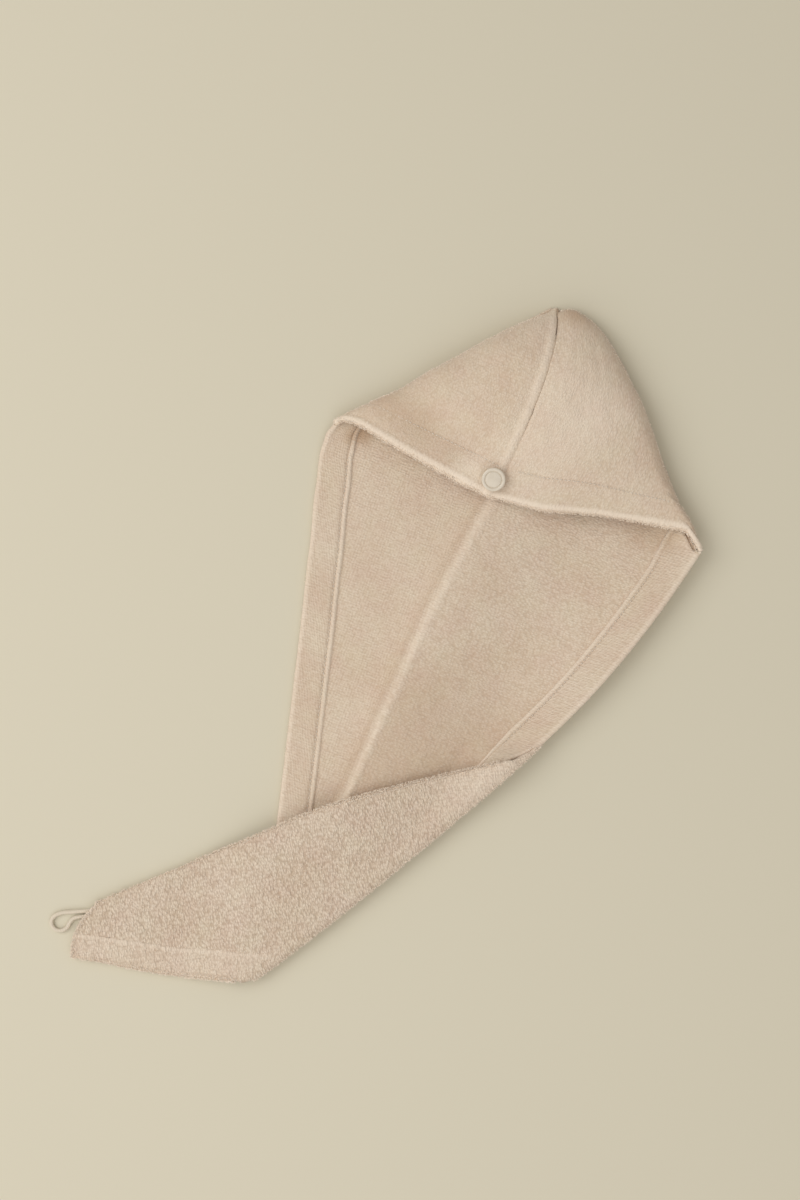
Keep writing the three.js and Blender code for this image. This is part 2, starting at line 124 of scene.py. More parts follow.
def cotton_cord(name, colour, ply):
    """Soft cotton: fine slanting plies with a little fluff."""
    material, nodes, links, shader = new_material(name, Roughness=0.85, Sheen_Weight=0.3)
    place = add_node(nodes, "TexCoord")
    plies = add_node(nodes, "TexWave", Scale=0.3 / ply, Distortion=2.0, Detail_Scale=2.0)
    fluff = add_node(nodes, "TexNoise", Scale=0.6 / ply, Detail=4.0)
    tone = two_tones(nodes, 0.0, darker(colour, 0.78), 0.6, colour)
    both = add_node(nodes, "Math")
    both.operation = "ADD"
    relief = add_node(nodes, "Bump", Strength=0.6, Distance=0.3 * mm)
    links.new(place.outputs["Object"], plies.inputs["Vector"])
    links.new(place.outputs["Object"], fluff.inputs["Vector"])
    links.new(plies.outputs["Fac"], both.inputs[0])
    links.new(fluff.outputs["Fac"], both.inputs[1])
    links.new(plies.outputs["Fac"], tone.inputs["Fac"])
    links.new(tone.outputs["Color"], shader.inputs["Base Color"])
    links.new(both.outputs[0], relief.inputs["Height"])
    links.new(relief.outputs["Normal"], shader.inputs["Normal"])
    return material


loop_curve = bpy.data.curves.new("tail_loop_cord", "CURVE")
loop_curve.dimensions = "3D"
loop_curve.resolution_u = 6
loop_curve.bevel_depth = loop_cord / 2
loop_curve.bevel_resolution = 5
loop_curve.use_fill_caps = True
loop_spline = loop_curve.splines.new("BEZIER")
loop_spline.bezier_points.add(len(loop_points) - 1)
for point, spot in zip(loop_spline.bezier_points, loop_points):
    point.co = spot
    point.handle_left_type = point.handle_right_type = "AUTO"
tail_loop = placed("tail_loop_cord", loop_curve)
cotton_colour = (0.82, 0.72, 0.58)
loop_curve.materials.append(cotton_cord("cotton_cord", cotton_colour, 1.1 * mm))
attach(tail_loop, "root")
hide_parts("tail_loop")


# Lower layer of the hood and body: one sheet of terry from the peak to the turned-over tail.
# A centre crease stands up in it, and its two side edges are turned in and stitched as hems.
wall = 3 * mm
hem_wall = 2 * mm
hem_width = 26 * mm
gap = 0.3 * mm
seam_length = 156 * mm
hood_left = 131 * mm
hood_right = 165 * mm
corner_drop = 141 * mm
hood_rise = 40 * mm
nape_rise = 24 * mm
peak_rise = 8 * mm
peak_width = 11 * mm
fold_lift = 7 * mm
edge_lift = 14 * mm
crease_rise = 12 * mm
crease_steep = 9 * mm
pinch_height = 1.6 * mm     # the crease's own sharp lip
pinch_width = 2.2 * mm
crease_slope = 85 * mm
right_fold_draw = 2.5 * mm  # how far in the right fold is drawn at its middle
turn = np.array((101, 319)) * mm        # the turned-over fold's upper end
heel = np.array((-45, 565)) * mm        # and its lower end
turn_inset = 7 * mm
turn_bow = 3.5 * mm
stitch_inset = 4.4 * mm     # from a side hem's inner edge to its stitches
rim_radius = (wall / 2 + gap + hem_wall / 2) / 2
side_tuck = 3 * mm          # how far the hood's side folds reach in over the lower layer


def smooth(share):
    """Smooth step from 0 to 1."""
    t = np.clip(share, 0, 1)
    return t * t * (3 - 2 * t)


def read_table(table, place, column):
    """One column of a table at places along it, with a smooth run between its rows."""
    at = np.array([row[0] for row in table])
    value = np.array([row[column] for row in table])
    place = np.clip(place, at[0], at[-1])
    index = np.clip(np.searchsorted(at, place, side="right") - 1, 0, len(at) - 2)
    share = smooth((place - at[index]) / (at[index + 1] - at[index]))
    return value[index] + (value[index + 1] - value[index]) * share


def curve(a, b, c, d, count=800):
    """Points of a cubic curve in plan."""
    a, b, c, d = (np.array(point, float) for point in (a, b, c, d))
    t = np.linspace(0, 1, count)[:, None]
    return (1 - t) ** 3 * a + 3 * (1 - t) ** 2 * t * b + 3 * (1 - t) * t**2 * c + t**3 * d


def on_curve(made, share):
    """Points of a made curve at shares of its run."""
    place = np.clip(share, 0, 1) * (len(made) - 1)
    index = np.minimum(place.astype(int), len(made) - 2)
    part = (place - index)[..., None]
    return made[index] * (1 - part) + made[index + 1] * part


def across_at(made, along):
    """Where a curve that runs down the towel is, at distances along."""
    return np.interp(along, np.maximum.accumulate(made[:, 1]), made[:, 0])


def edge_curve(start, end, first_swing, second_swing):
    """A nearly straight edge, with its swing to the right given at both thirds."""
    start, end = np.array(start, float), np.array(end, float)
    run = end - start
    right = np.array((run[1], -run[0])) / np.hypot(*run)
    return curve(
        start, start + run / 3 + right * first_swing, start + run * 2 / 3 + right * second_swing, end,
    )


corner_left = (-hood_left, corner_drop)
corner_right = (hood_right, corner_drop)
left_fold = curve(
    (-peak_width / 2, 0), (-0.31 * hood_left, 0.27 * corner_drop),
    (-0.67 * hood_left, 0.66 * corner_drop), corner_left,
)
right_fold = curve(
    (peak_width / 2, 0), (0.27 * hood_right, -0.13 * corner_drop),
    (0.67 * hood_right, 0.5 * corner_drop), corner_right,
)
right_fold[:, 0] -= right_fold_draw * np.sin(math.pi * np.clip(right_fold[:, 1] / corner_drop, 0, 1))
left_edge = edge_curve(corner_left, heel, -0.07 * hood_left, 0.05 * hood_left)
right_edge = edge_curve(corner_right, turn, 0.045 * hood_right, 0.055 * hood_right)

turn_run = heel - turn
turn_out = np.array((-turn_run[1], turn_run[0])) / np.hypot(*turn_run) * -1
turn_start = turn - turn_out * turn_inset
heel_start = heel - turn_out * turn_inset

# Centre crease: share of the way to the heel, place as a share of hood_left, rise of crease_rise
crease_table = (
    (0.0, 0.0, 0.0), (0.12, 0.03, 0.12), (0.27, 0.02, 0.7), (0.45, -0.1, 1.0),
    (0.6, -0.15, 0.95), (0.72, -0.19, 0.75), (0.84, -0.25, 0.25), (1.0, -0.36, 0.05),
)
# Lift of the side edges: share of corner_drop, lift, and run as a share of hem_width
left_lift_table = ((0.0, 0.3, 0.25), (0.5, 1.0, 0.7), (0.95, 0.6, 0.5), (1.25, 0.0, 0.5))
right_lift_table = (
    (0.0, 0.15, 0.25), (0.5, 0.6, 0.9), (1.0, 1.0, 1.8), (1.7, 1.0, 2.4),
    (2.3, 0.8, 2.0), (2.9, 0.25, 1.6), (4.0, 0.0, 1.6),
)


def turn_line_across(along):
    """Where the turned-over fold runs across the towel."""
    share = (along - turn_start[1]) / (heel_start[1] - turn_start[1])
    bow = 4 * turn_bow * share * (1 - share) * (share > 0)
    return turn_start[0] + (heel_start[0] - turn_start[0]) * share + bow


# How far the left edge's shoulder stands out, at distances past the corner
shoulder_table = ((0, 0.0), (12, 4.2), (26, 5.6), (50, 4.2), (100, 1.4), (160, 0.0))


def left_edge_across(along):
    """The lower layer's left edge."""
    out = mm * read_table(shoulder_table, (along - corner_drop) / mm, 1)
    hem = across_at(left_edge, along) - out
    return np.where(along < corner_drop, across_at(left_fold, along), hem)


def right_edge_across(along):
    """The lower layer's right edge, which runs on into the turned-over fold."""
    hem = across_at(right_edge, np.minimum(along, turn[1]))
    turned = turn_line_across(along) - 3 * gap
    reached = np.clip((along - turn[1]) / (20 * mm), 0, 1)
    hem = hem + (turned - hem) * reached
    return np.where(along < corner_drop, across_at(right_fold, along), hem)


def right_hem_across(along):
    """The right hem's own outer line: past the fold's end it keeps straight on under the tail."""
    past = np.maximum(0, along - turn[1])
    return across_at(right_edge, np.minimum(along, turn[1])) - 0.4 * past


def crease_across(along):
    """Where the centre crease runs."""
    at = [row[0] for row in crease_table]
    return hood_left * np.interp(along / heel[1], at, [row[1] for row in crease_table])


def edge_rise(table, lift, along, inward):
    """How far a side edge is lifted off the table, at distances in from it."""
    place = along / corner_drop
    share = np.clip(1 - inward / (hem_width * read_table(table, place, 2)), 0, 1)
    return lift * read_table(table, place, 1) * share**2


def lower_rise(across, along):
    """Height of the lower layer's underside above the table."""
    from_crease = across - crease_across(along) - 1 * mm
    run = np.where(from_crease < 0, crease_steep, crease_slope)
    crease = crease_rise * read_table(crease_table, along / heel[1], 2)
    pinched = pinch_height * np.exp(-np.abs(from_crease) / pinch_width)
    pinched = pinched * smooth(along / heel[1] / 0.2) * smooth((0.9 - along / heel[1]) / 0.2)
    left = edge_rise(left_lift_table, fold_lift, along, across - left_edge_across(along))
    right = edge_rise(right_lift_table, edge_lift, along, right_edge_across(along) - across)
    crease = crease * smooth(1 - np.abs(from_crease) / run) + pinched
    return np.maximum(np.maximum(crease, left), right)


def on_lower(across, along, height):
    """Points on the lower layer, height away from its middle along its own normal."""
    step = 0.5 * mm
    rise = lower_rise(across, along)
    over = (lower_rise(across + step, along) - lower_rise(across - step, along)) / (2 * step)
    down = (lower_rise(across, along + step) - lower_rise(across, along - step)) / (2 * step)
    normal = np.stack([-over, down, np.ones_like(rise)], -1)
    normal /= np.linalg.norm(normal, axis=-1, keepdims=True)
    spot = np.stack([peak_x + across, peak_y - along, wall / 2 + rise], -1)
    return spot + normal * (height + np.zeros_like(rise))[..., None]


def lumps(spots, normals, flat, size, depth, seed):
    """Pushes a grid of points in and out along their normals, by noise that follows the cloth."""
    for row in range(spots.shape[0]):
        for column in range(spots.shape[1]):
            u, v = flat[row, column]
            push = noise.noise(Vector((u / size, v / size, seed))) * depth[row, column]
            spots[row, column] += normals[row, column] * push
    return spots


def grid_normals(spots):
    """Unit normals of a grid of points."""
    over = np.gradient(spots, axis=1)
    down = np.gradient(spots, axis=0)
    normal = np.cross(down, over)
    length = np.linalg.norm(normal, axis=-1, keepdims=True)
    return normal / np.maximum(length, 1e-12)


def smooth_piece(name, made):
    """A smooth-shaded object of a bmesh, which is used up."""
    mesh = bpy.data.meshes.new(name)
    made.to_mesh(mesh)
    made.free()
    mesh.shade_smooth()
    return placed(name, mesh)


def cloth_sheet(name, spots, flat, pile, paleness_and_light, thickness, unused):
    """One sheet of cloth: a grid moved on to spots, with its flat cut as its UV map, how deep its
    pile is and how pale it is as attributes, its paleness also carrying painted highlights and, below
    zero, painted shade, and its thickness as a share of the wall. Cells marked unused go."""
    rows, columns = spots.shape[:2]
    made = bmesh.new()
    bmesh.ops.create_grid(made, x_segments=columns - 1, y_segments=rows - 1, size=0.5)
    cut = made.loops.layers.uv.new("cut")
    depth = made.verts.layers.float.new("pile")
    light = made.verts.layers.float.new("paleness_and_light")
    share = made.verts.layers.deform.new()
    places = {}
    for vertex in made.verts:
        column = round((vertex.co.x + 0.5) * (columns - 1))
        row = round((vertex.co.y + 0.5) * (rows - 1))
        places[vertex] = (row, column)
    gone = []
    for face in made.faces:
        corners = [places[vertex] for vertex in face.verts]
        if unused[min(r for r, _ in corners), min(c for _, c in corners)]:
            gone.append(face)
        for loop in face.loops:
            loop[cut].uv = flat[places[loop.vert]]
    for vertex in made.verts:
        place = places[vertex]
        vertex.co = spots[place]
        vertex[depth] = pile[place]
        vertex[light] = paleness_and_light[place]
        vertex[share][0] = thickness[place]
    bmesh.ops.delete(made, geom=gone, context="FACES")
    bmesh.ops.reverse_faces(made, faces=made.faces)
    piece = smooth_piece(name, made)
    piece.vertex_groups.new(name="thickness")
    body = piece.modifiers.new("thickness", "SOLIDIFY")
    body.thickness = wall
    body.offset = 0
    body.vertex_group = "thickness"
    return piece


def side_columns(inner):
    """Columns of a side that is turned in as a hem: distance in from the edge, and height over
    the sheet's middle. They run from the hem's inner edge, out and round the rim. The stitches
    press a furrow, and leave a low welt between it and the inner edge."""
    leg = []
    for away in np.concatenate([
        inner - np.linspace(0, 10 * mm, 18)[:-1], np.linspace(inner - 10 * mm, rim_radius, 10),
    ]):
        back = inner - away
        pressed = 0.7 * mm * smooth(1 - back / (9 * mm))
        furrow = 0.8 * mm * math.exp(-(((back - stitch_inset) / (1.2 * mm)) ** 2))
        welt = 0.4 * mm * math.exp(-(((back - 1.8 * mm) / (1.1 * mm)) ** 2))
        lip = 1.1 * mm * smooth(1 - back / (1.2 * mm))
        leg.append((away, 2 * rim_radius - pressed - furrow + welt - lip))
    round_the_rim = [
        (rim_radius * (1 - math.sin(turned)), rim_radius * (1 + math.cos(turned)))
        for turned in np.linspace(0, math.pi, 7)[1:]
    ]
    return np.array(leg + round_the_rim)


def sheet_row(left, field, right, count):
    """Values along one row of a sheet: its left side's, one for the field, and its right side's."""
    return np.concatenate([left[:-1], np.full(count, float(field)), right[::-1][1:]])[None, :]


lower_end = heel[1] - 3 * turn_inset
first_hem_place = corner_drop + 1 * mm
hem_rows = np.linspace(first_hem_place, lower_end, 160)
lower_rows = np.concatenate([np.linspace(2 * mm, first_hem_place, 54)[:-1], hem_rows])
field_columns = 104
turned_side = side_columns(hem_width)
side_count = len(turned_side)
side_in, side_up = turned_side.T
along = np.repeat(lower_rows[:, None], 2 * side_count + field_columns - 2, axis=1)
left = left_edge_across(lower_rows)[:, None]
right = right_edge_across(lower_rows)[:, None]
in_hood = lower_rows[:, None] < first_hem_place - 0.1 * mm
inset = np.where(in_hood, side_tuck, rim_radius)
inset = np.minimum(inset, (right - left) / 3)
room = np.minimum(1, (right - left) / (2.3 * hem_width))
field = np.linspace(0, 1, field_columns)[None, :]
middle = left + inset + (right - left - 2 * inset) * field
by_corner = smooth(1 - (lower_rows[:, None] - corner_drop) / (36 * mm))
left_room = room * (1 - 0.17 * by_corner)
right_room = (right - right_hem_across(lower_rows)[:, None] + hem_width) / hem_width
right_room = np.where(lower_rows[:, None] > turn[1], np.clip(right_room, 0.25, 1), room)
left_side = left + side_in[None, :] * left_room
right_side = right - side_in[::-1][None, :] * right_room
across = np.concatenate([left_side[:, :-1], middle, right_side[:, 1:]], axis=1)
height = sheet_row(side_up, 0, side_up, field_columns) + np.zeros_like(along)
# The hems' first rows lean up under the hood
left_lean = 8 * mm * smooth(side_in / (8 * mm))
right_lean = 14 * mm * smooth(side_in / (20 * mm))
lean = sheet_row(left_lean, 0, right_lean, field_columns)
lean = lean * (height > 1e-6) * smooth(1 - (along - first_hem_place) / (24 * mm))
along = along - np.where(along >= first_hem_place - 1e-9, lean, 0)
lower_spots = on_lower(across, along, height)
beyond = sheet_row(-side_in, 0, side_in, field_columns)
lower_flat = np.stack([across + 2 * beyond * room, -along], -1)
on_field = (height < 1e-6).astype(float)
is_left = smooth((crease_across(along) - across) / (6 * mm) + 0.5)
lower_pile = np.where(height > 0, 0.15, 0.75 - 0.5 * is_left)
back = hem_width - sheet_row(side_in, -1, side_in, field_columns) + np.zeros_like(along)
turned = height > 0
# The hems are paler at their inner welts and at their rims: partly the paler woven hem, partly
# painted highlight.
lower_paleness_and_light = np.where(turned, 0.9 * smooth(1 - back / (4 * mm)), 0.0)
lower_paleness_and_light = np.where(turned & (back > hem_width - 2.6 * mm), 0.45, lower_paleness_and_light)
from_crest = across - crease_across(along)
# Painted light on the centre crease: a painted highlight along its crest and painted shade just left
# of it, from just below the nape down.
crest_highlight_and_shade = 0.45 * np.exp(-(((from_crest - 0.5 * mm) / (3.2 * mm)) ** 2))
crest_highlight_and_shade -= 0.35 * np.exp(-(((from_crest + 6 * mm) / (3.2 * mm)) ** 2))
crest_highlight_and_shade = crest_highlight_and_shade * smooth((along - seam_length + 10 * mm) / (20 * mm))
lower_paleness_and_light = np.where(turned, lower_paleness_and_light, crest_highlight_and_shade)


def painted_light_spot(across, along, place, width):
    """A soft round spot about a place in plan, 1 in its middle, for painting shade and highlights."""
    away = np.hypot(across - place[0] * mm, along - place[1] * mm)
    return np.exp(-((away / (width * mm)) ** 2))


# Painted shade: the deep tucks, where the side hems go in under the hood, are painted browner.
# Each has its place in plan and its width in mm, and how brown it is.
painted_tuck_shade = (
    ((-108, 142), 8, 1.1), ((-116, 148), 5, 0.6), ((140, 139), 10, 0.55), ((120, 142), 14, 0.35),
)
for place, width, depth in painted_tuck_shade:
    lower_paleness_and_light -= depth * painted_light_spot(across, along, place, width)
# Painted shade: the right panel is painted browner towards the tail, in the hollow under the
# turned-over tail.
lower_paleness_and_light -= 0.35 * (from_crest > 0) * (1 - turned) * smooth((along - 250 * mm) / (90 * mm))
lower_paleness_and_light = np.clip(lower_paleness_and_light, -1, 1)
hem_share = 0.67            # the hems' thickness as a share of the wall
lower_thickness = np.where(turned, hem_share - 0.4 * smooth(1 - back / (1.5 * mm)), 1.0)
tapered = np.minimum(1, np.minimum(field, 1 - field) * field_columns / 2 + 0.5)
lower_thickness[:, side_count - 1:side_count - 1 + field_columns] *= tapered
lower_depth = (0.35 + 0.5 * on_field) * mm
lower_spots = lumps(
    lower_spots, grid_normals(lower_spots), lower_flat, 7 * mm, 0.5 * lower_depth, 1.7,
)
lower_spots[..., 2] = np.maximum(lower_spots[..., 2], wall / 2)
first_hem_row = int(np.argmax(lower_rows >= first_hem_place - 1e-9))
right_hem_end = turn[1] + 2 * hem_width
right_columns = side_count + field_columns - 2
unused_lower = np.zeros(along.shape, bool)
unused_lower[:first_hem_row, :side_count - 1] = True
unused_lower[:first_hem_row, right_columns:] = True
unused_lower[lower_rows > right_hem_end, right_columns:] = True
lower_cloth = cloth_sheet(
    "lower_cloth", lower_spots, lower_flat, lower_pile, lower_paleness_and_light, lower_thickness, unused_lower,
)
# The brown of painted shade: mixed in where the cloth's paleness attribute is below zero, in creases,
# tucks and hollows.
painted_shade_colour = (0.47, 0.31, 0.19)


def terry(name, colour, shade, edge, loop_size, stretch, relief_depth):
    """Terry towelling in cotton: rows of tiny loops with darker gaps, uneven from wear and
    washing. Where the pile is shallow the ground weave shows as a fine grid. Its paleness attribute
    mixes in the paler colour of rims and painted highlights, and below zero the brown of painted
    shade."""
    material, nodes, links, shader = new_material(
        name, Roughness=0.92, Specular_IOR_Level=0.2, Sheen_Weight=0.35, Sheen_Roughness=0.5,
    )

    def maths(operation, a, b=0.0, c=0.0):
        made = nodes.new("ShaderNodeMath")
        made.operation = operation
        for socket, value in zip(made.inputs, (a, b, c)):
            if isinstance(value, bpy.types.NodeSocket):
                links.new(value, socket)
            else:
                socket.default_value = value
        return made.outputs[0]

    cut = add_node(nodes, "UVMap")
    cut.uv_map = "cut"
    pile = add_node(nodes, "Attribute")
    pile.attribute_name = "pile"
    paleness_and_light = add_node(nodes, "Attribute")
    paleness_and_light.attribute_name = "paleness_and_light"
    squashed = add_node(nodes, "Mapping", Scale=(*stretch, 1.0))
    links.new(cut.outputs["UV"], squashed.inputs["Vector"])
    loops = add_node(nodes, "TexVoronoi", Scale=1 / loop_size, Randomness=0.7)
    loops.feature = "SMOOTH_F1"
    loops.inputs["Smoothness"].default_value = 0.2
    links.new(squashed.outputs["Vector"], loops.inputs["Vector"])
    fluff = add_node(nodes, "TexNoise", Scale=2.4 / loop_size, Detail=2.0, Roughness=0.6)
    clumps = add_node(nodes, "TexNoise", Scale=0.3 / loop_size, Detail=2.0, Roughness=0.5)
    wear = add_node(nodes, "TexNoise", Scale=24.0, Detail=3.0, Roughness=0.5)
    blush = add_node(nodes, "TexNoise", Scale=48.0, Detail=1.0, Roughness=0.5)
    bend = add_node(nodes, "TexNoise", Scale=150.0, Detail=3.0)
    for made in (fluff, clumps, wear, blush, bend):
        links.new(cut.outputs["UV"], made.inputs["Vector"])
    split = add_node(nodes, "SeparateXYZ")
    links.new(cut.outputs["UV"], split.inputs[0])

    # The ground weave: ribs both ways, a little bent
    weave_pitch = 1.25 * loop_size
    ribs = []
    for axis in ("X", "Y"):
        turned = maths("MULTIPLY", split.outputs[axis], 2 * math.pi / weave_pitch)
        bent = maths("MULTIPLY_ADD", bend.outputs["Fac"], 9.0, turned)
        ribs.append(maths("SINE", bent))
    weave = maths("MULTIPLY_ADD", maths("ADD", ribs[0], ribs[1]), 0.25, 0.5)
    loop_top = maths("SUBTRACT", 1.0, loops.outputs["Distance"])
    piled = maths("MULTIPLY_ADD", clumps.outputs["Fac"], 0.12, loop_top)
    woven = maths("MULTIPLY_ADD", weave, 0.42, maths("MULTIPLY_ADD", loop_top, 0.55, 0.05))
    mixed = add_node(nodes, "Mix")
    links.new(pile.outputs["Fac"], mixed.inputs["Factor"])
    links.new(woven, mixed.inputs["A"])
    links.new(piled, mixed.inputs["B"])
    height = maths("MULTIPLY_ADD", fluff.outputs["Fac"], 0.3, mixed.outputs["Result"])

    tone = two_tones(nodes, 0.35, shade, 0.85, colour)
    links.new(maths("MULTIPLY", height, 1 / 1.25), tone.inputs["Fac"])
    worn = add_node(nodes, "HueSaturation")
    links.new(maths("MULTIPLY_ADD", wear.outputs["Fac"], 0.16, 0.92), worn.inputs["Value"])
    links.new(maths("MULTIPLY_ADD", wear.outputs["Fac"], -0.3, 1.15), worn.inputs["Saturation"])
    links.new(maths("MULTIPLY_ADD", blush.outputs["Fac"], 0.03, 0.485), worn.inputs["Hue"])
    links.new(tone.outputs["Color"], worn.inputs["Color"])
    result = worn.outputs["Color"]
    # Painted light: above zero the paleness attribute mixes in the pale rim and highlight colour,
    # below zero the brown of painted shade.
    for tint, share in ((edge, 0.75), (painted_shade_colour, -0.75)):
        tinted = add_node(nodes, "Mix")
        tinted.data_type = "RGBA"
        tinted.clamp_factor = True
        ends = [socket for socket in tinted.inputs if socket.type == "RGBA"]
        ends[1].default_value = (*tint, 1)
        links.new(maths("MULTIPLY", paleness_and_light.outputs["Fac"], share), tinted.inputs["Factor"])
        links.new(result, ends[0])
        result = [socket for socket in tinted.outputs if socket.type == "RGBA"][0]
    links.new(result, shader.inputs["Base Color"])
    relief = add_node(nodes, "Bump", Strength=0.8, Distance=relief_depth)
    links.new(height, relief.inputs["Height"])
    links.new(relief.outputs["Normal"], shader.inputs["Normal"])
    return material


terry_colour = (0.80, 0.675, 0.545)
terry_shade = (0.64, 0.50, 0.375)
# Paler colour of the hem rims, partly the paler woven hem and partly painted highlight; it also
# carries the painted highlights.
pale_rim_and_highlight_colour = (0.93, 0.80, 0.665)
body_terry = terry(
    "body_terry", terry_colour, terry_shade, pale_rim_and_highlight_colour, 1.7 * mm, (0.7, 1.1), 0.7 * mm,
)
lower_cloth.data.materials.append(body_terry)
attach(lower_cloth, "root")
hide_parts("left_panel", "right_panel", "left_hem", "right_hem")


# Tail: the rest of the same sheet, turned over at a soft fold and laid back across the body. Its
# side hems lie underneath it, and its tip narrows to the cord loop.
tip_bulge = 6 * mm
settle_start = 5 * mm
settle_run = 60 * mm
tail_ease = 1 * mm
hem_narrowing = 0.45
fold_unit = (heel_start - turn_start) / np.hypot(*(heel_start - turn_start))
# Where the tail's two edges come off the fold on its top side
turn_top = turn_start + fold_unit * 27 * mm
heel_top = heel_start + fold_unit * 7.5 * mm


def through(*spots, soft=22, count=800):
    """A curve through places in plan, evenly sampled, with its corners rounded."""
    spots = np.array(spots, float)
    reach = np.concatenate([[0], np.cumsum(np.hypot(*np.diff(spots, axis=0).T))])
    at = np.linspace(0, reach[-1], count)
    made = np.stack([np.interp(at, reach, spots[:, axis]) for axis in (0, 1)], -1)
    for _ in range(2):
        before = 2 * made[0] - made[soft:0:-1]
        after = 2 * made[-1] - made[-2:-soft - 2:-1]
        padded = np.concatenate([before, made, after])
        kernel = np.full(2 * soft + 1, 1 / (2 * soft + 1))
        made = np.stack([np.convolve(padded[:, axis], kernel, "valid") for axis in (0, 1)], -1)
    return made


tail_upper_places = (
    (56, 357), (30, 373), (-34, 415.5), (-68.5, 448.5), (-103, 481.5), (-166, 539.5),
)
tail_lower_places = ((-112, 584.5), (-170, 593))
tail_upper_edge = through(turn_top, *(np.array(tail_upper_places) * mm), tip_upper, soft=50)
tail_lower_edge = through(heel_top, *(np.array(tail_lower_places) * mm), tip_lower, soft=50)
hem_stack = hem_wall + gap
tail_on_table = wall / 2 + hem_stack
tail_on_cloth = 1.5 * wall + 2 * hem_stack + gap + tail_ease


def tail_height(across, along):
    """Height of the tail's middle where it lies on the body, and past it on the table."""
    past = left_edge_across(np.minimum(along, heel[1])) - across
    beyond_heel = np.maximum(0, along - heel[1])
    away = np.hypot(np.maximum(past, 0), beyond_heel)
    cover = 1 - smooth((away - settle_start) / settle_run)
    from_crease = np.abs(across - crease_across(along))
    crease = crease_rise * read_table(crease_table, along / heel[1], 2)
    crease = crease * smooth(1 - from_crease / crease_slope)
    below = np.maximum(crease, lower_rise(across, along)) + tail_on_cloth
    return tail_on_table + (below - tail_on_table) * cover


def tail_spots(side, row):
    """The tail's middle surface: side runs from the lower edge at 0 to the upper edge at 1, and
    row round the fold from 0 to 1 and on to the tip at 2."""
    bow = turn_out * (4 * turn_bow * side * (1 - side))[..., None]
    over_top = smooth((row - 0.5) / 0.5)[..., None]
    heel_end = heel_start + (heel_top - heel_start) * over_top
    turn_end = turn_start + (turn_top - turn_start) * over_top
    start = heel_end + (turn_end - heel_end) * side[..., None] + bow
    low = wall / 2 + lower_rise(start[..., 0], start[..., 1])
    high = tail_height(start[..., 0], start[..., 1])
    turned = math.pi * np.clip(row, 0, 1)
    rounded = np.sqrt(1 - 0.8 * (1 - np.clip(side / 0.03, 0, 1)) ** 2)
    out = start + turn_out * (turn_inset * rounded * np.sin(turned))[..., None]
    round_fold = np.stack(
        [out[..., 0], out[..., 1], low + (high - low) * (1 - np.cos(turned)) / 2], -1,
    )
    share = np.clip(row - 1, 0, 1)
    lower_side = on_curve(tail_lower_edge, share)
    upper_side = on_curve(tail_upper_edge, share)
    flat = lower_side + (upper_side - lower_side) * side[..., None]
    flat = flat + bow * ((1 - share) ** 3)[..., None]
    flat[..., 0] -= 4 * tip_bulge * side * (1 - side) * share**8
    laid = np.stack(
        [flat[..., 0], flat[..., 1], tail_height(flat[..., 0], flat[..., 1])], -1,
    )
    made = np.where((row < 1)[..., None], round_fold, laid)
    made[..., 0] += peak_x
    made[..., 1] = peak_y - made[..., 1]
    return made


def hem_band(edge, low, high, share):
    """Width of a tail hem as a share of the tail's width."""
    ahead = on_curve(edge, share + 0.002) - on_curve(edge, share - 0.002)
    ahead /= np.linalg.norm(ahead, axis=-1, keepdims=True)
    over = high - low
    length = np.linalg.norm(over, axis=-1)
    slant = np.abs(ahead[:, 0] * over[:, 1] - ahead[:, 1] * over[:, 0]) / length
    return hem_width / (slant * length + 2 * hem_narrowing * hem_width)


fold_rows = np.linspace(0, 1, 15)
tail_rows = np.concatenate([fold_rows, 1 + np.linspace(0, 1, 150)[1:]])
share = np.clip(tail_rows - 1, 0, 1)
low_edge = on_curve(tail_lower_edge, share)
high_edge = on_curve(tail_upper_edge, share)
low_band = hem_band(tail_lower_edge, low_edge, high_edge, share)[:, None] / hem_width
high_band = hem_band(tail_upper_edge, low_edge, high_edge, share)[:, None] / hem_width
tail_field = 84
rims_from = 1.03            # the row where the tail's hems begin
round_it = tail_rows[:, None] < rims_from
start_side = np.where(round_it, 0, rim_radius * low_band)
end_side = 1 - np.where(round_it, 0, rim_radius * high_band)
field = np.linspace(0, 1, tail_field)[None, :]
side = np.concatenate([
    side_in[None, :-1] * low_band,
    start_side + (end_side - start_side) * field,
    1 - side_in[::-1][None, 1:] * high_band,
], axis=1)
row = np.repeat(tail_rows[:, None], side.shape[1], axis=1)
middle = tail_spots(side, row)
step = 1e-3
over = tail_spots(np.clip(side + step, 0, 1), row) - tail_spots(np.clip(side - step, 0, 1), row)
down = tail_spots(side, row + step) - tail_spots(side, np.maximum(row - step, 0))
below = np.cross(down, over)
below /= np.linalg.norm(below, axis=-1, keepdims=True)
turned_height = sheet_row(side_up, 0, side_up, tail_field) + np.zeros_like(row)
tail_made = middle + below * turned_height[..., None]
plan = np.stack([middle[..., 0] - peak_x, peak_y - middle[..., 1]], -1) - turn_start
along_fold = plan @ fold_unit
from_fold = plan @ np.array((fold_unit[1], -fold_unit[0]))
tail_flat = np.stack([
    turn_start[0] + along_fold * fold_unit[0] - from_fold * fold_unit[1],
    -(turn_start[1] + along_fold * fold_unit[1] + from_fold * fold_unit[0]),
], -1)
on_field = (turned_height < 1e-6).astype(float)
from_lower = side / low_band
from_upper = (1 - side) / high_band
press = 0.9 * mm * np.exp(-(((from_lower - hem_width) / (1.6 * mm)) ** 2))
press = press * smooth((row - 1.02) / 0.06) * smooth((2 - row) / 0.05) * (turned_height < 1e-6)
tail_made = tail_made + below * press[..., None]
in_band = smooth((hem_width - from_lower) / (3 * mm)) * smooth((row - 1.0) / 0.05)
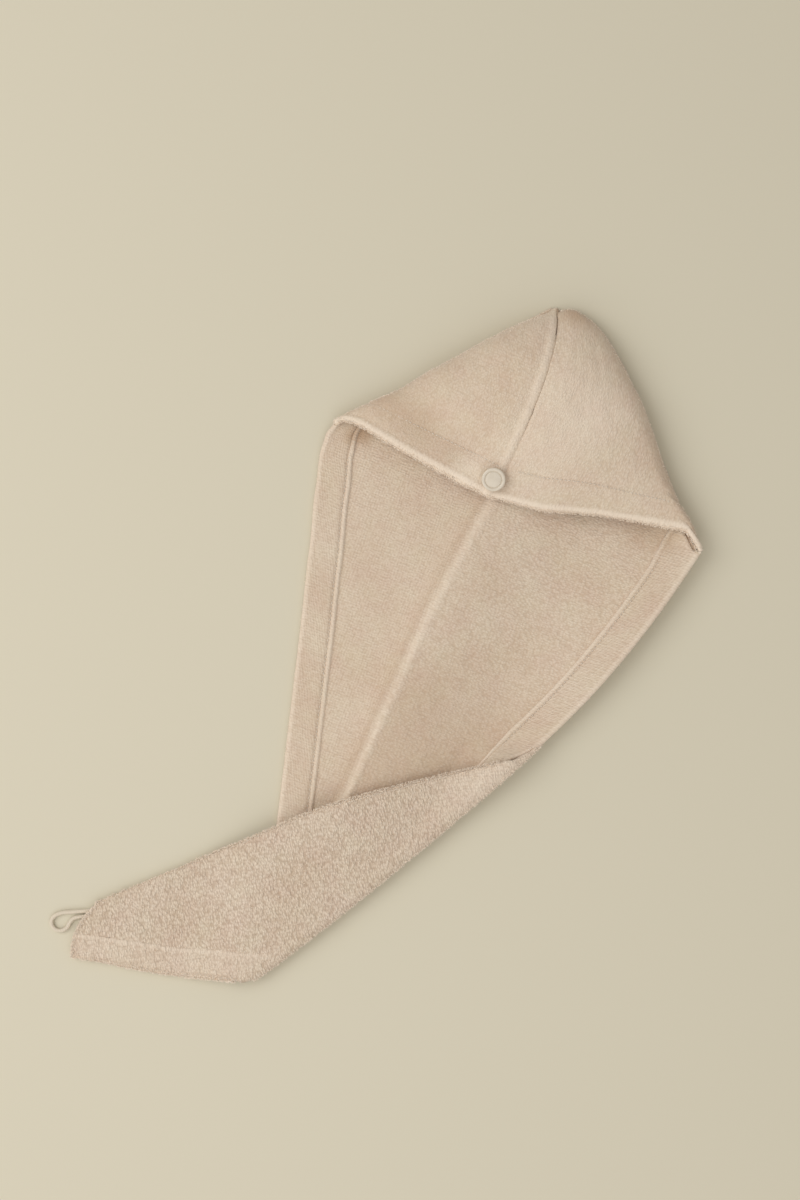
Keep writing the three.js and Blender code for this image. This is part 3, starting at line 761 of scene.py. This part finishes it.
from_turn = np.hypot(middle[..., 0] - peak_x - turn[0], peak_y - middle[..., 1] - turn[1])
by_turn = 1 - smooth((from_turn - 20 * mm) / (120 * mm))
tail_pile = np.where(turned_height > 0, 0.3, 1.0 - 0.2 * in_band - 0.65 * by_turn)
# Paleness and painted light of the tail: a paler lower hem band and turned hems, partly the paler
# woven hem and partly painted highlight, with painted highlights beside the stitches and towards the
# fold's upper end.
beside_stitches = np.exp(-(((from_lower - hem_width + 2 * mm) / (1.5 * mm)) ** 2)) * (row > 1)
tail_paleness_and_light = 0.2 * in_band + 0.55 * beside_stitches + 0.35 * by_turn
tail_paleness_and_light = np.where(turned_height > 0, 0.3, np.clip(tail_paleness_and_light, 0, 1))
tail_thickness = np.where(turned_height > 0, hem_share, 1.0)
tail_made = lumps(
    tail_made, grid_normals(tail_made), tail_flat, 3.6 * mm, (0.15 + 0.5 * on_field) * mm, 4.1,
)
tail_made[..., 2] = np.maximum(tail_made[..., 2], wall / 2)
unused = np.zeros(row.shape, bool)
unused[tail_rows < rims_from, :side_count - 1] = True
unused[tail_rows < rims_from, side_count + tail_field - 2:] = True
tail_cloth = cloth_sheet(
    "tail_cloth", tail_made, tail_flat, tail_pile, tail_paleness_and_light, tail_thickness, unused,
)
tail_colour = (0.86, 0.73, 0.595)
tail_shade = (0.57, 0.44, 0.33)
tail_cloth.data.materials.append(terry(
    "tail_terry", tail_colour, tail_shade, pale_rim_and_highlight_colour, 1.6 * mm, (0.62, 1.1), 1.3 * mm,
))
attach(tail_cloth, "root")
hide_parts("tail", "tail_hem_lower", "tail_hem_upper")


# Hood: the upper end of the same towel, folded over at both sides and closed by a seam up its
# back. Its nape edge is turned in and stitched, and the button is sewn near that edge.
crest_swells = (1.45, 0.98)    # the crest's two middle heights, as shares of hood_rise
hood_fullness = {"left": 1.9, "right": 2.3}
seam_dip = 1.6 * mm
seam_allowance = 8 * mm
dent_depth = 5 * mm
fold_draw = {"left": 2.5 * mm, "right": 4 * mm}   # how far the full cloth draws the folds in
peak_draw = 3.5 * mm
nose_reach = 1.5 * mm       # how far the blunt peak rounds over
hood_rows = 74              # rows of the hood's outside, from the peak to the nape edge
nape = (0, seam_length)
nape_places = {
    "left": ((-18.7, 153.2), (-72, 145.2), (-116, 136.9), (-128.6, 138.4)),
    "right": ((39, 152), (83, 140.8), (129, 132.4), (150, 128.4)),
}
nape_edges = {
    side: through(nape, *(np.array(nape_places[side]) * mm), corner, soft=18)
    for side, corner in (("left", corner_left), ("right", corner_right))
}
back_seam = curve(
    (0, 0), (0.09 * hood_left, 0.27 * seam_length), (0.06 * hood_left, 0.67 * seam_length), nape,
)
folds = {
    "left": left_fold + np.array((1.0, 1.0)) * fold_draw["left"],
    "right": right_fold + np.array((-1.0, 0.8)) * fold_draw["right"],
}
for side, made in folds.items():
    taper = smooth((corner_drop - made[:, 1:]) / (0.25 * corner_drop))
    corner = np.array(corner_left if side == "left" else corner_right)
    made += (corner - made[-1]) * (1 - taper)
lifts = {"left": (left_lift_table, fold_lift), "right": (right_lift_table, edge_lift)}


def square_row(seam, fold, out):
    """A row of the hood in plan: it leaves the seam squarely and ends on the side fold."""
    bend = np.stack([(seam[..., 0] + fold[..., 0]) / 2, seam[..., 1]], -1)
    out = out[..., None]
    return (1 - out) ** 2 * seam + 2 * (1 - out) * out * bend + out**2 * fold


def hood_spots(side, arch, row):
    """Points of the hood: arch runs from the back seam at 0 to the side fold at 1, and row from
    the peak at 0 to the nape edge at 1."""
    fold = on_curve(folds[side], row)
    seam = on_curve(back_seam, row)
    power = 2 / hood_fullness[side]
    angle = np.clip(arch, 0, 1) * math.pi / 2
    out = np.sin(angle) ** power
    up = np.maximum(np.cos(angle), 0) ** power
    table, lift = lifts[side]
    low = 1.5 * wall + gap + edge_rise(table, lift, fold[..., 1], 0)
    crest = (
        (1 - row) ** 3 * peak_rise + 3 * (1 - row) ** 2 * row * crest_swells[0] * hood_rise
        + 3 * (1 - row) * row**2 * crest_swells[1] * hood_rise + row**3 * nape_rise - wall / 2
    )
    spot = square_row(seam, fold, out)
    end = np.zeros_like(fold) + nape_edges[side][-1]
    start = np.zeros_like(fold) + np.array(nape)
    bowed = on_curve(nape_edges[side], out) - square_row(start, end, out)
    spot = spot + bowed * (row**3)[..., None]
    from_seam = out * np.abs(fold[..., 0] - seam[..., 0])
    drawn = peak_draw * (1 - smooth(row / 0.2))
    if side == "right":
        drawn = drawn * (1 - smooth(from_seam / (7 * mm)))
    spot[..., 1] += drawn
    dip = seam_dip * (1 - smooth(from_seam / (2 * seam_allowance)))
    across_dent = smooth(out / 0.25) * smooth((0.9 - out) / 0.3) if side == "left" else 0
    along_dent = (row - 1) * seam_length / hem_width + 1
    dent = dent_depth * across_dent * smooth(1 - np.abs(along_dent))
    height = low + (crest - low) * up - dip - dent
    if side == "left":
        pressed = 1.0 * mm * np.exp(-(((from_seam - 3.2 * mm) / (2.6 * mm)) ** 2))
    else:
        pressed = -1.0 * mm * np.exp(-(((from_seam - 0.9 * mm) / (1.1 * mm)) ** 2))
    pressed = pressed * smooth(row / 0.08)
    return np.stack([peak_x + spot[..., 0], peak_y - spot[..., 1], height + pressed], -1)


def hood_frame(side, arch, row):
    """Points of the hood with the way down its rows and the way out of its cloth."""
    step = 2e-3
    arch = np.clip(arch, 0, 0.9995)
    spot = hood_spots(side, arch, row)
    before = np.clip(arch - step, 0, 1)
    after = np.clip(arch + step, 0, 1)
    over = hood_spots(side, after, row) - hood_spots(side, before, row)
    up_row = np.clip(row - step, 0, 1)
    down_row = np.clip(row + step, 0, 1)
    down = hood_spots(side, arch, down_row) - hood_spots(side, arch, up_row)
    length = np.linalg.norm(down, axis=-1, keepdims=True)
    reach = length / (down_row - up_row)[..., None]
    out = np.cross(over, down) if side == "left" else np.cross(down, over)
    out /= np.maximum(np.linalg.norm(out, axis=-1, keepdims=True), 1e-12)
    return spot, down / np.maximum(length, 1e-12), out, reach[..., 0]


def hood_side(side):
    """Half of the hood as rows and columns from the seam to the side fold, with its nape edge
    turned in under it and its side tucked under."""
    arch = np.concatenate([np.linspace(0, 0.06, 16), np.linspace(0.06, 1, 66)[1:]])
    nape_fade = smooth((1 - arch) / 0.1)
    _, _, _, reach = hood_frame(side, arch, np.ones_like(arch))
    edge_row = 1 - rim_radius / reach
    rows = np.linspace(0, 1, hood_rows)[:, None] * edge_row[None, :]
    outer, _, _, _ = hood_frame(side, np.repeat(arch[None, :], hood_rows, 0), rows)
    spots = [outer]
    base, ahead, out, _ = hood_frame(side, arch, edge_row)
    for turned in np.linspace(0, math.pi, 8)[1:]:
        spots.append((
            base + ahead * rim_radius * math.sin(turned)
            - out * rim_radius * (1 - math.cos(turned))
        )[None])
    for part in np.linspace(0, 1, 12)[1:]:
        away = rim_radius + (hem_width * (0.08 + 0.92 * nape_fade) - rim_radius) * part
        base, _, out, _ = hood_frame(side, arch, 1 - away / reach)
        spots.append((base - out * 2 * rim_radius)[None])
    made = np.concatenate(spots)
    made[:, :, 2] = np.maximum(made[:, :, 2], wall / 2)
    # The side fold: the cloth goes on down and in, to meet the lower layer's edge
    fold_rows = np.concatenate([rows[:, -1], np.full(len(made) - hood_rows, edge_row[-1])])
    fold = on_curve(folds[side], fold_rows)
    ahead = on_curve(folds[side], fold_rows + 0.004) - on_curve(folds[side], fold_rows - 0.004)
    ahead /= np.linalg.norm(ahead, axis=-1, keepdims=True)
    inward = np.stack([ahead[:, 1], -ahead[:, 0]], -1) * (1 if side == "left" else -1)
    table, lift = lifts[side]
    low = wall / 2 + edge_rise(table, lift, fold[:, 1], 0)
    last = made[:, -1].copy()
    tucked = []
    for turned in np.linspace(0, math.pi / 2, 7)[1:]:
        spot = last.copy()
        spot[:, 0] += inward[:, 0] * side_tuck * (1 - math.cos(turned))
        spot[:, 1] -= inward[:, 1] * side_tuck * (1 - math.cos(turned))
        spot[:, 2] = last[:, 2] + (np.minimum(low, last[:, 2]) - last[:, 2]) * math.sin(turned)
        tucked.append(spot[:, None])
    return np.concatenate([made, *tucked], axis=1)


left_half = hood_side("left")[:, ::-1]
right_half = hood_side("right")
middle = left_half.shape[1] - 1
hood_made = np.concatenate([left_half, right_half[:, 1:]], axis=1)
# The blunt peak rounds over and down to the lower layer
nose = []
for turned in np.linspace(math.pi / 2, 0, 6)[:-1]:
    spot = hood_made[0].copy()
    spot[:, 1] += nose_reach * math.sin(turned)
    spot[:, 2] = wall / 2 + (spot[:, 2] - wall / 2) * math.cos(turned)
    nose.append(spot[None])
hood_made = np.concatenate([*nose, hood_made])
outer_rows = hood_rows + len(nose)
across_step = np.linalg.norm(np.diff(hood_made, axis=1), axis=-1)
run = np.concatenate([np.zeros((len(hood_made), 1)), np.cumsum(across_step, axis=1)], axis=1)
down_step = np.linalg.norm(np.diff(hood_made, axis=0), axis=-1).mean(axis=1)
drop = np.concatenate([[0], np.cumsum(down_step)])
hood_flat = np.stack([
    run - run[:, middle:middle + 1], np.repeat(-drop[:, None], run.shape[1], axis=1),
], -1)
row_number = np.arange(len(hood_made))[:, None] + np.zeros(run.shape)
is_hem = row_number > outer_rows + 3
hood_pile = np.where(is_hem, 0.3, 0.85)
from_edge = (drop[outer_rows - 1] - drop)[:, None] + np.zeros(run.shape)
seam_run = run - run[:, middle:middle + 1]
on_outside = row_number < outer_rows + 4
# The nape rim is paler: partly the paler woven hem, partly painted highlight.
hood_paleness_and_light = smooth((4.0 * mm - from_edge) / (2 * mm)) * on_outside
# Back seam: a painted highlight on the ridge just left of it, and painted shade in its groove,
# stronger towards the peak.
painted_ridge_highlight = 0.5 * np.exp(-(((seam_run + 3 * mm) / (2.4 * mm)) ** 2)) * on_outside
painted_groove_shade = np.exp(-(((seam_run - 0.9 * mm) / (1.0 * mm)) ** 2)) * on_outside
painted_groove_shade = painted_groove_shade * (0.35 + 0.65 * smooth((110 * mm - drop) / (40 * mm)))[:, None]
hood_paleness_and_light = np.maximum(hood_paleness_and_light, painted_ridge_highlight)
hood_paleness_and_light = hood_paleness_and_light - 0.8 * painted_groove_shade * (hood_paleness_and_light < 0.9)
plan_across = hood_made[..., 0] - peak_x
plan_along = peak_y - hood_made[..., 1]
# Painted light on the hood: patches of painted shade in its dents and at the peak, and painted
# highlights on its crest and beside the button. Each has its place in plan and its width in mm, and
# how pale it is.
painted_light_patches = (
    ((-96, 114), 18, -0.45), ((-68, 124), 16, -0.35), ((-38, 132), 13, -0.20), ((15, 4), 10, -0.50),
    ((44, 60), 34, 0.40), ((30, 105), 30, 0.35), ((-22, 142), 11, 0.55),
)
for place, width, paler in painted_light_patches:
    hood_paleness_and_light += paler * on_outside * painted_light_spot(plan_across, plan_along, place, width)
# Painted shade: the hood's left half is darker away from the seam.
hood_paleness_and_light -= 0.12 * on_outside * smooth((-seam_run - 8 * mm) / (20 * mm))
# Painted shade down the hood's right side, towards its fold.
painted_shade_by_right_fold = np.exp(-(((run[:, -1:] - run) / (24 * mm)) ** 2))
hood_paleness_and_light -= 0.5 * on_outside * painted_shade_by_right_fold * (from_edge > 5 * mm)
hood_paleness_and_light = np.clip(hood_paleness_and_light, -1, 1)
hood_thickness = np.where(row_number > outer_rows - 1, hem_share, 1.0)
hood_normals = grid_normals(hood_made)
groove = -0.7 * mm * np.exp(-(((from_edge - 6.5 * mm) / (1.6 * mm)) ** 2))
groove += 0.6 * mm * np.exp(-(((from_edge - 2.0 * mm) / (2.2 * mm)) ** 2))
stitched = np.where(seam_run < 0, 0.35, 0.7) * mm
groove = groove - stitched * np.exp(-(((from_edge - hem_width) / (1.8 * mm)) ** 2))
hood_made = hood_made + hood_normals * (groove * (row_number < outer_rows))[..., None]
hood_made = lumps(
    hood_made, hood_normals, hood_flat, 6 * mm, np.where(is_hem, 0.2, 0.5) * mm, 7.3,
)
hood_made = lumps(
    hood_made, hood_normals, hood_flat, 42 * mm, np.where(is_hem, 0.0, 1.6) * mm, 2.9,
)
hood_cloth = cloth_sheet(
    "hood_cloth", hood_made, hood_flat, hood_pile, hood_paleness_and_light, hood_thickness,
    np.zeros(run.shape, bool),
)
hood_shade = (0.67, 0.53, 0.40)
hood_cloth.data.materials.append(terry(
    "hood_terry", terry_colour, hood_shade, pale_rim_and_highlight_colour, 1.7 * mm, (1.1, 0.7), 0.7 * mm,
))
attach(hood_cloth, "root")
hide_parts("hood_left", "hood_right", "nape_hem_left", "nape_hem_right")


# Back seam: the two raw edges of the terry, sewn together and overlocked. They are pressed to the
# left inside the hood, which hides them.
allowance_size = (40, 6)
allowance_arch = np.linspace(0.08, 0.0, 6)[None, :] + np.zeros((40, 1))
allowance_row = np.linspace(0.24, 0.82, 40)[:, None] + np.zeros((1, 6))
base, _, out, _ = hood_frame("left", allowance_arch, allowance_row)
allowance_wall = 1.6 * mm
allowance_spots = base - out * (wall / 2 + gap + allowance_wall / 2)
allowance_flat = np.stack([allowance_arch * 0.1, allowance_row * seam_length], -1)
seam_inside = cloth_sheet(
    "seam_allowance", allowance_spots, allowance_flat, np.zeros(allowance_size),
    np.zeros(allowance_size), np.full(allowance_size, allowance_wall / wall),
    np.zeros(allowance_size, bool),
)
seam_inside.data.materials.append(body_terry)
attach(seam_inside, "root")
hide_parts("back_seam")


# Stitches: cotton sewing thread in short machine stitches, one row down each hem. They hold the
# turned-in edge, and their thread is pressed into the pile.
stitch_pitch = 3.2 * mm
stitch_length = 2.4 * mm
stitch_width = 0.75 * mm
thread_colour = (0.92, 0.82, 0.70)
thread = cotton_cord("stitching_thread", thread_colour, 0.5 * mm)


def stitch_row(name, line, outs):
    """Short stitches lying along a line of points, each pressed into the cloth at both ends."""
    made = bmesh.new()
    steps = np.linalg.norm(np.diff(line, axis=0), axis=-1)
    reach = np.concatenate([[0], np.cumsum(steps)])
    for start in np.arange(stitch_pitch / 2, reach[-1] - stitch_pitch / 2, stitch_pitch):
        def at(place, values):
            return Vector([np.interp(place, reach, values[:, axis]) for axis in range(3)])
        ahead = at(start + stitch_length / 2, line) - at(start - stitch_length / 2, line)
        ahead.normalize()
        up = at(start, outs)
        sideways = up.cross(ahead).normalized()
        up = ahead.cross(sideways)
        lying = Matrix((ahead, sideways, up)).transposed().to_4x4()
        size = Matrix.Diagonal((stitch_length / 2, stitch_width / 2, stitch_width / 2, 1))
        shape = Matrix.Translation(at(start, line)) @ lying @ size
        bmesh.ops.create_icosphere(made, subdivisions=1, radius=1, matrix=shape)
    row_piece = smooth_piece(name, made)
    row_piece.data.materials.append(thread)
    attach(row_piece, "root")
    return row_piece


def lower_line(inward, first, last, is_right, height):
    """A line of points over a side hem, with the cloth's normals."""
    along = np.linspace(first, last, 150)
    edge = right_hem_across(along) - inward if is_right else left_edge_across(along) + inward
    line = on_lower(edge, along, height)
    return line, on_lower(edge, along, height + mm) - line


hem_top = 2 * rim_radius + hem_wall / 2 - 0.5 * mm
stitch_row("left_hem_stitches", *lower_line(
    hem_width - stitch_inset, corner_drop + 8 * mm, heel[1] - 70 * mm, False, hem_top,
))
stitch_row("right_hem_stitches", *lower_line(
    hem_width - stitch_inset, corner_drop + 8 * mm, turn[1] + 26 * mm, True, hem_top,
))
for side in ("left", "right"):
    arch = np.linspace(0.03, 0.86, 90)
    _, _, _, reach = hood_frame(side, arch, np.ones_like(arch))
    line, _, outs, _ = hood_frame(side, arch, 1 - (hem_width - 2.5 * mm) / reach)
    stitch_row(f"nape_stitches_{side}", line + outs * wall / 2, outs)


# Terry loops: the cotton pile's own small loops, where they stand out singly. They are thickest
# round the rims, which break the outline, and thinner over the coarse tail.
fuzz_chance = np.random.default_rng(11)


def terry_loops(name, spots, outs, length, width, material):
    """Small soft loops, each standing on a point of the cloth and leaning its own way. They are
    made in small lots, because a large mesh is slow to add to."""
    made = bmesh.new()
    lot, lot_mesh = bmesh.new(), bpy.data.meshes.new("lot")
    for number, (spot, out) in enumerate(zip(spots, outs)):
        if number % 100 == 99:
            lot.to_mesh(lot_mesh)
            made.from_mesh(lot_mesh)
            lot.clear()
        lean = Vector(out) + Vector(fuzz_chance.normal(0, 0.45, 3))
        turn_to = Vector((0, 0, 1)).rotation_difference(lean.normalized()).to_matrix().to_4x4()
        size = length * (0.7 + 0.6 * fuzz_chance.random())
        shape = Matrix.Diagonal((width / 2, width / 2, size / 2, 1))
        place = Matrix.Translation(Vector(spot) + lean.normalized() * size * 0.3)
        bmesh.ops.create_icosphere(lot, subdivisions=1, radius=1, matrix=place @ turn_to @ shape)
    lot.free()
    bpy.data.meshes.remove(lot_mesh)
    piece = smooth_piece(name, made)
    piece.data.materials.append(material)
    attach(piece, "root")
    return piece


def loop_yarn(name, colour):
    """Soft cotton yarn of the pile, a little uneven in tone."""
    material, nodes, links, shader = new_material(
        name, Roughness=0.92, Specular_IOR_Level=0.2, Sheen_Weight=0.35,
    )
    place = add_node(nodes, "TexCoord")
    uneven = add_node(nodes, "TexNoise", Scale=420)
    tone = two_tones(nodes, 0.3, darker(colour, 0.86), 0.7, colour)
    links.new(place.outputs["Object"], uneven.inputs["Vector"])
    links.new(uneven.outputs["Fac"], tone.inputs["Fac"])
    links.new(tone.outputs["Color"], shader.inputs["Base Color"])
    return material


def scatter(grid, weights, count, side):
    """Points on a grid's solid face, chosen by weight, with the ways out of the cloth."""
    outs = grid_normals(grid) * side
    chance = (weights / weights.sum()).ravel()
    chosen = fuzz_chance.choice(chance.size, count, p=chance)
    rows, columns = np.unravel_index(chosen, weights.shape)
    rows = np.minimum(rows, grid.shape[0] - 2)
    columns = np.minimum(columns, grid.shape[1] - 2)
    u, v = fuzz_chance.random((2, count))
    u, v = u[:, None], v[:, None]
    spot = (
        grid[rows, columns] * (1 - u) * (1 - v) + grid[rows, columns + 1] * u * (1 - v)
        + grid[rows + 1, columns] * (1 - u) * v + grid[rows + 1, columns + 1] * u * v
    )
    out = outs[rows, columns]
    spot = spot + out * wall * 0.42
    spot[:, 2] = np.maximum(spot[:, 2], 1.1 * mm)
    return spot, out


def cell_sizes(grid):
    """The area of a grid's cells, one at each point."""
    sides = np.cross(np.gradient(grid, axis=0), np.gradient(grid, axis=1))
    return np.linalg.norm(sides, axis=-1)


# The loops' yarn is paler than the cloth it stands on: a painted highlight on the rims they crowd.
highlit_pile_yarn = loop_yarn("highlit_pile_yarn", (0.94, 0.82, 0.69))
upright = np.abs(grid_normals(hood_made)[..., 2])
by_rim = from_edge < 2.5 * mm
hood_weights = cell_sizes(hood_made) * on_outside
hood_weights = hood_weights * (smooth((0.55 - upright) / 0.4) + 2.0 * by_rim)
terry_loops(
    "hood_loops", *scatter(hood_made, hood_weights, 2600, 1), 1.5 * mm, 0.55 * mm, highlit_pile_yarn,
)
on_top = turned_height < rim_radius
on_rim = on_top & (np.minimum(from_lower, from_upper) < 1.8 * mm) & (row > 1.02)
on_fold = (row > 0.3) & (row < 0.7)
clear_of_table = tail_made[..., 2] > 3.4 * mm
tail_weights = cell_sizes(tail_made) * on_top * (row > 0.3) * clear_of_table
tail_weights = tail_weights * (0.3 + 14.0 * on_rim + 3.0 * on_fold + 14.0 * (row > 1.985))
terry_loops(
    "tail_loops", *scatter(tail_made, tail_weights, 6500, -1), 1.9 * mm, 0.6 * mm, highlit_pile_yarn,
)
lower_weights = cell_sizes(lower_spots) * (~unused_lower) * turned
lower_weights = lower_weights * (along > corner_drop + 4 * mm)
rim_end = np.where(across > 0, turn[1], heel[1] - 60 * mm)
lower_weights = lower_weights * (back > hem_width - 2.2 * mm) * (along < rim_end)
terry_loops(
    "side_loops", *scatter(lower_spots, lower_weights, 2200, -1), 1.3 * mm, 0.5 * mm, highlit_pile_yarn,
)


# Button: a round moulded button of pale shell, with a raised rim and a dished middle. It is sewn
# on at the nape by a short post of thread, and stands just off the cloth.
button_radius = 9 * mm
button_thickness = 3.6 * mm
button_rim = 2.6 * mm
button_dish = 0.2 * mm
button_round = 0.9 * mm
button_setback = 16 * mm
thread_radius = 1.7 * mm
thread_length = 1.4 * mm
button_row = np.array(1 - button_setback / seam_length)
seat = Vector(hood_spots("left", np.array(0.0), button_row))
seat += Vector((-4.5, -2.2, 0.3)) * mm
seat_down = Vector(hood_spots("left", np.array(0.0), button_row + 0.02)
                   - hood_spots("left", np.array(0.0), button_row - 0.02))
seat_out = Vector((0, seat_down.z, -seat_down.y)).normalized()
seat_turn = Vector((0, 0, 1)).rotation_difference(seat_out).to_matrix().to_4x4()
seat_place = Matrix.Translation(seat) @ seat_turn


def turned_piece(name, profile, lift, steps):
    """A turned solid: a profile of radius and height spun round the button's own axis."""
    made = bmesh.new()
    spots = [made.verts.new((radius, 0, height)) for radius, height in profile]
    edges = [made.edges.new(pair) for pair in zip(spots, spots[1:])]
    bmesh.ops.spin(
        made, geom=[*spots, *edges], cent=(0, 0, 0), axis=(0, 0, 1), angle=2 * math.pi,
        steps=steps, use_merge=True,
    )
    bmesh.ops.remove_doubles(made, verts=made.verts, dist=1e-6)
    bmesh.ops.recalc_face_normals(made, faces=made.faces)
    seated = seat_place @ Matrix.Translation((0, 0, lift))
    bmesh.ops.transform(made, matrix=seated, verts=made.verts)
    return smooth_piece(name, made)


button_profile = [(0, 0), (button_radius - 1.6 * button_round, 0)]
button_profile += [
    (button_radius - button_round * (1 - math.sin(turned)), button_round * (1 - math.cos(turned)))
    for turned in np.linspace(0.15, math.pi / 2, 6)
]
button_profile += [
    (button_radius - button_rim / 2 * (1 - math.cos(turned)),
     button_thickness - button_round + button_round * math.sin(turned))
    for turned in np.linspace(0, math.pi, 15)
]
button_profile += [
    (button_radius - button_rim - part * 0.9 * mm,
     button_thickness - button_round + (button_round - button_dish) * smooth(part))
    for part in np.linspace(0.2, 1, 5)
]
button_profile.append((0, button_thickness - button_dish * 1.05))
button = turned_piece("button_shell", button_profile, wall / 2 + gap + thread_length + gap, 72)
thread_profile = [(0, 0)] + [
    (thread_radius * (0.86 + 0.14 * math.cos(turned)), thread_length * (0.04 + 0.92 * part))
    for part, turned in zip(np.linspace(0, 1, 25), np.linspace(0, 8 * math.pi, 25))
] + [(0, thread_length)]
thread_post = turned_piece("button_shank_thread", thread_profile, wall / 2 + gap, 24)
thread_post.data.materials.append(thread)
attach(thread_post, "root")
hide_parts("button_thread")

shell, nodes, links, shader = new_material(
    "button_shell", Roughness=0.32, Coat_Weight=0.25, Coat_Roughness=0.2,
)
place = add_node(nodes, "TexCoord")
cloud = add_node(nodes, "TexNoise", Scale=160, Detail=4)
tone = two_tones(nodes, 0.3, (0.67, 0.59, 0.48), 0.7, (0.75, 0.67, 0.56))
links.new(place.outputs["Object"], cloud.inputs["Vector"])
links.new(cloud.outputs["Fac"], tone.inputs["Fac"])
links.new(tone.outputs["Color"], shader.inputs["Base Color"])
relief = add_node(nodes, "Bump", Strength=0.15, Distance=0.1 * mm)
links.new(cloud.outputs["Fac"], relief.inputs["Height"])
links.new(relief.outputs["Normal"], shader.inputs["Normal"])
button.data.materials.append(shell)
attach(button, "root")
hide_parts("button")


# Floor: the plain pale table that the towel lies on.
floor_mesh = bpy.data.meshes.new("floor")
floor_grid = bmesh.new()
bmesh.ops.create_grid(floor_grid, x_segments=1, y_segments=1, size=8)
floor_grid.to_mesh(floor_mesh)
floor_grid.free()
floor = placed("floor", floor_mesh)
floor_material, _, _, _ = new_material(
    "floor", Base_Color=(0.70, 0.65, 0.52, 1), Roughness=0.9, Specular_IOR_Level=0.1,
)
floor_mesh.materials.append(floor_material)


# Light: a soft window to the left, a weaker one towards the tail, and a pale room all round.
def soft_light(name, size, energy, place):
    """A square of soft white light that faces the towel."""
    data = bpy.data.lights.new(name, "AREA")
    data.size = size
    data.energy = energy
    data.color = (1.0, 0.99, 0.97)
    light = placed(name, data)
    light.location = place
    light.rotation_euler = (-light.location).to_track_quat("-Z", "Y").to_euler()


soft_light("key", 1.5, 17.5, (-1.45, -0.08, 1.6))
soft_light("fill", 2.6, 14.5, (0.1, -1.3, 1.6))
room = bpy.data.worlds.new("room")
room.use_nodes = True
set_inputs(room.node_tree.nodes["Background"], {"Color": (1.0, 0.97, 0.92, 1), "Strength": 0.49})
bpy.context.scene.world = room
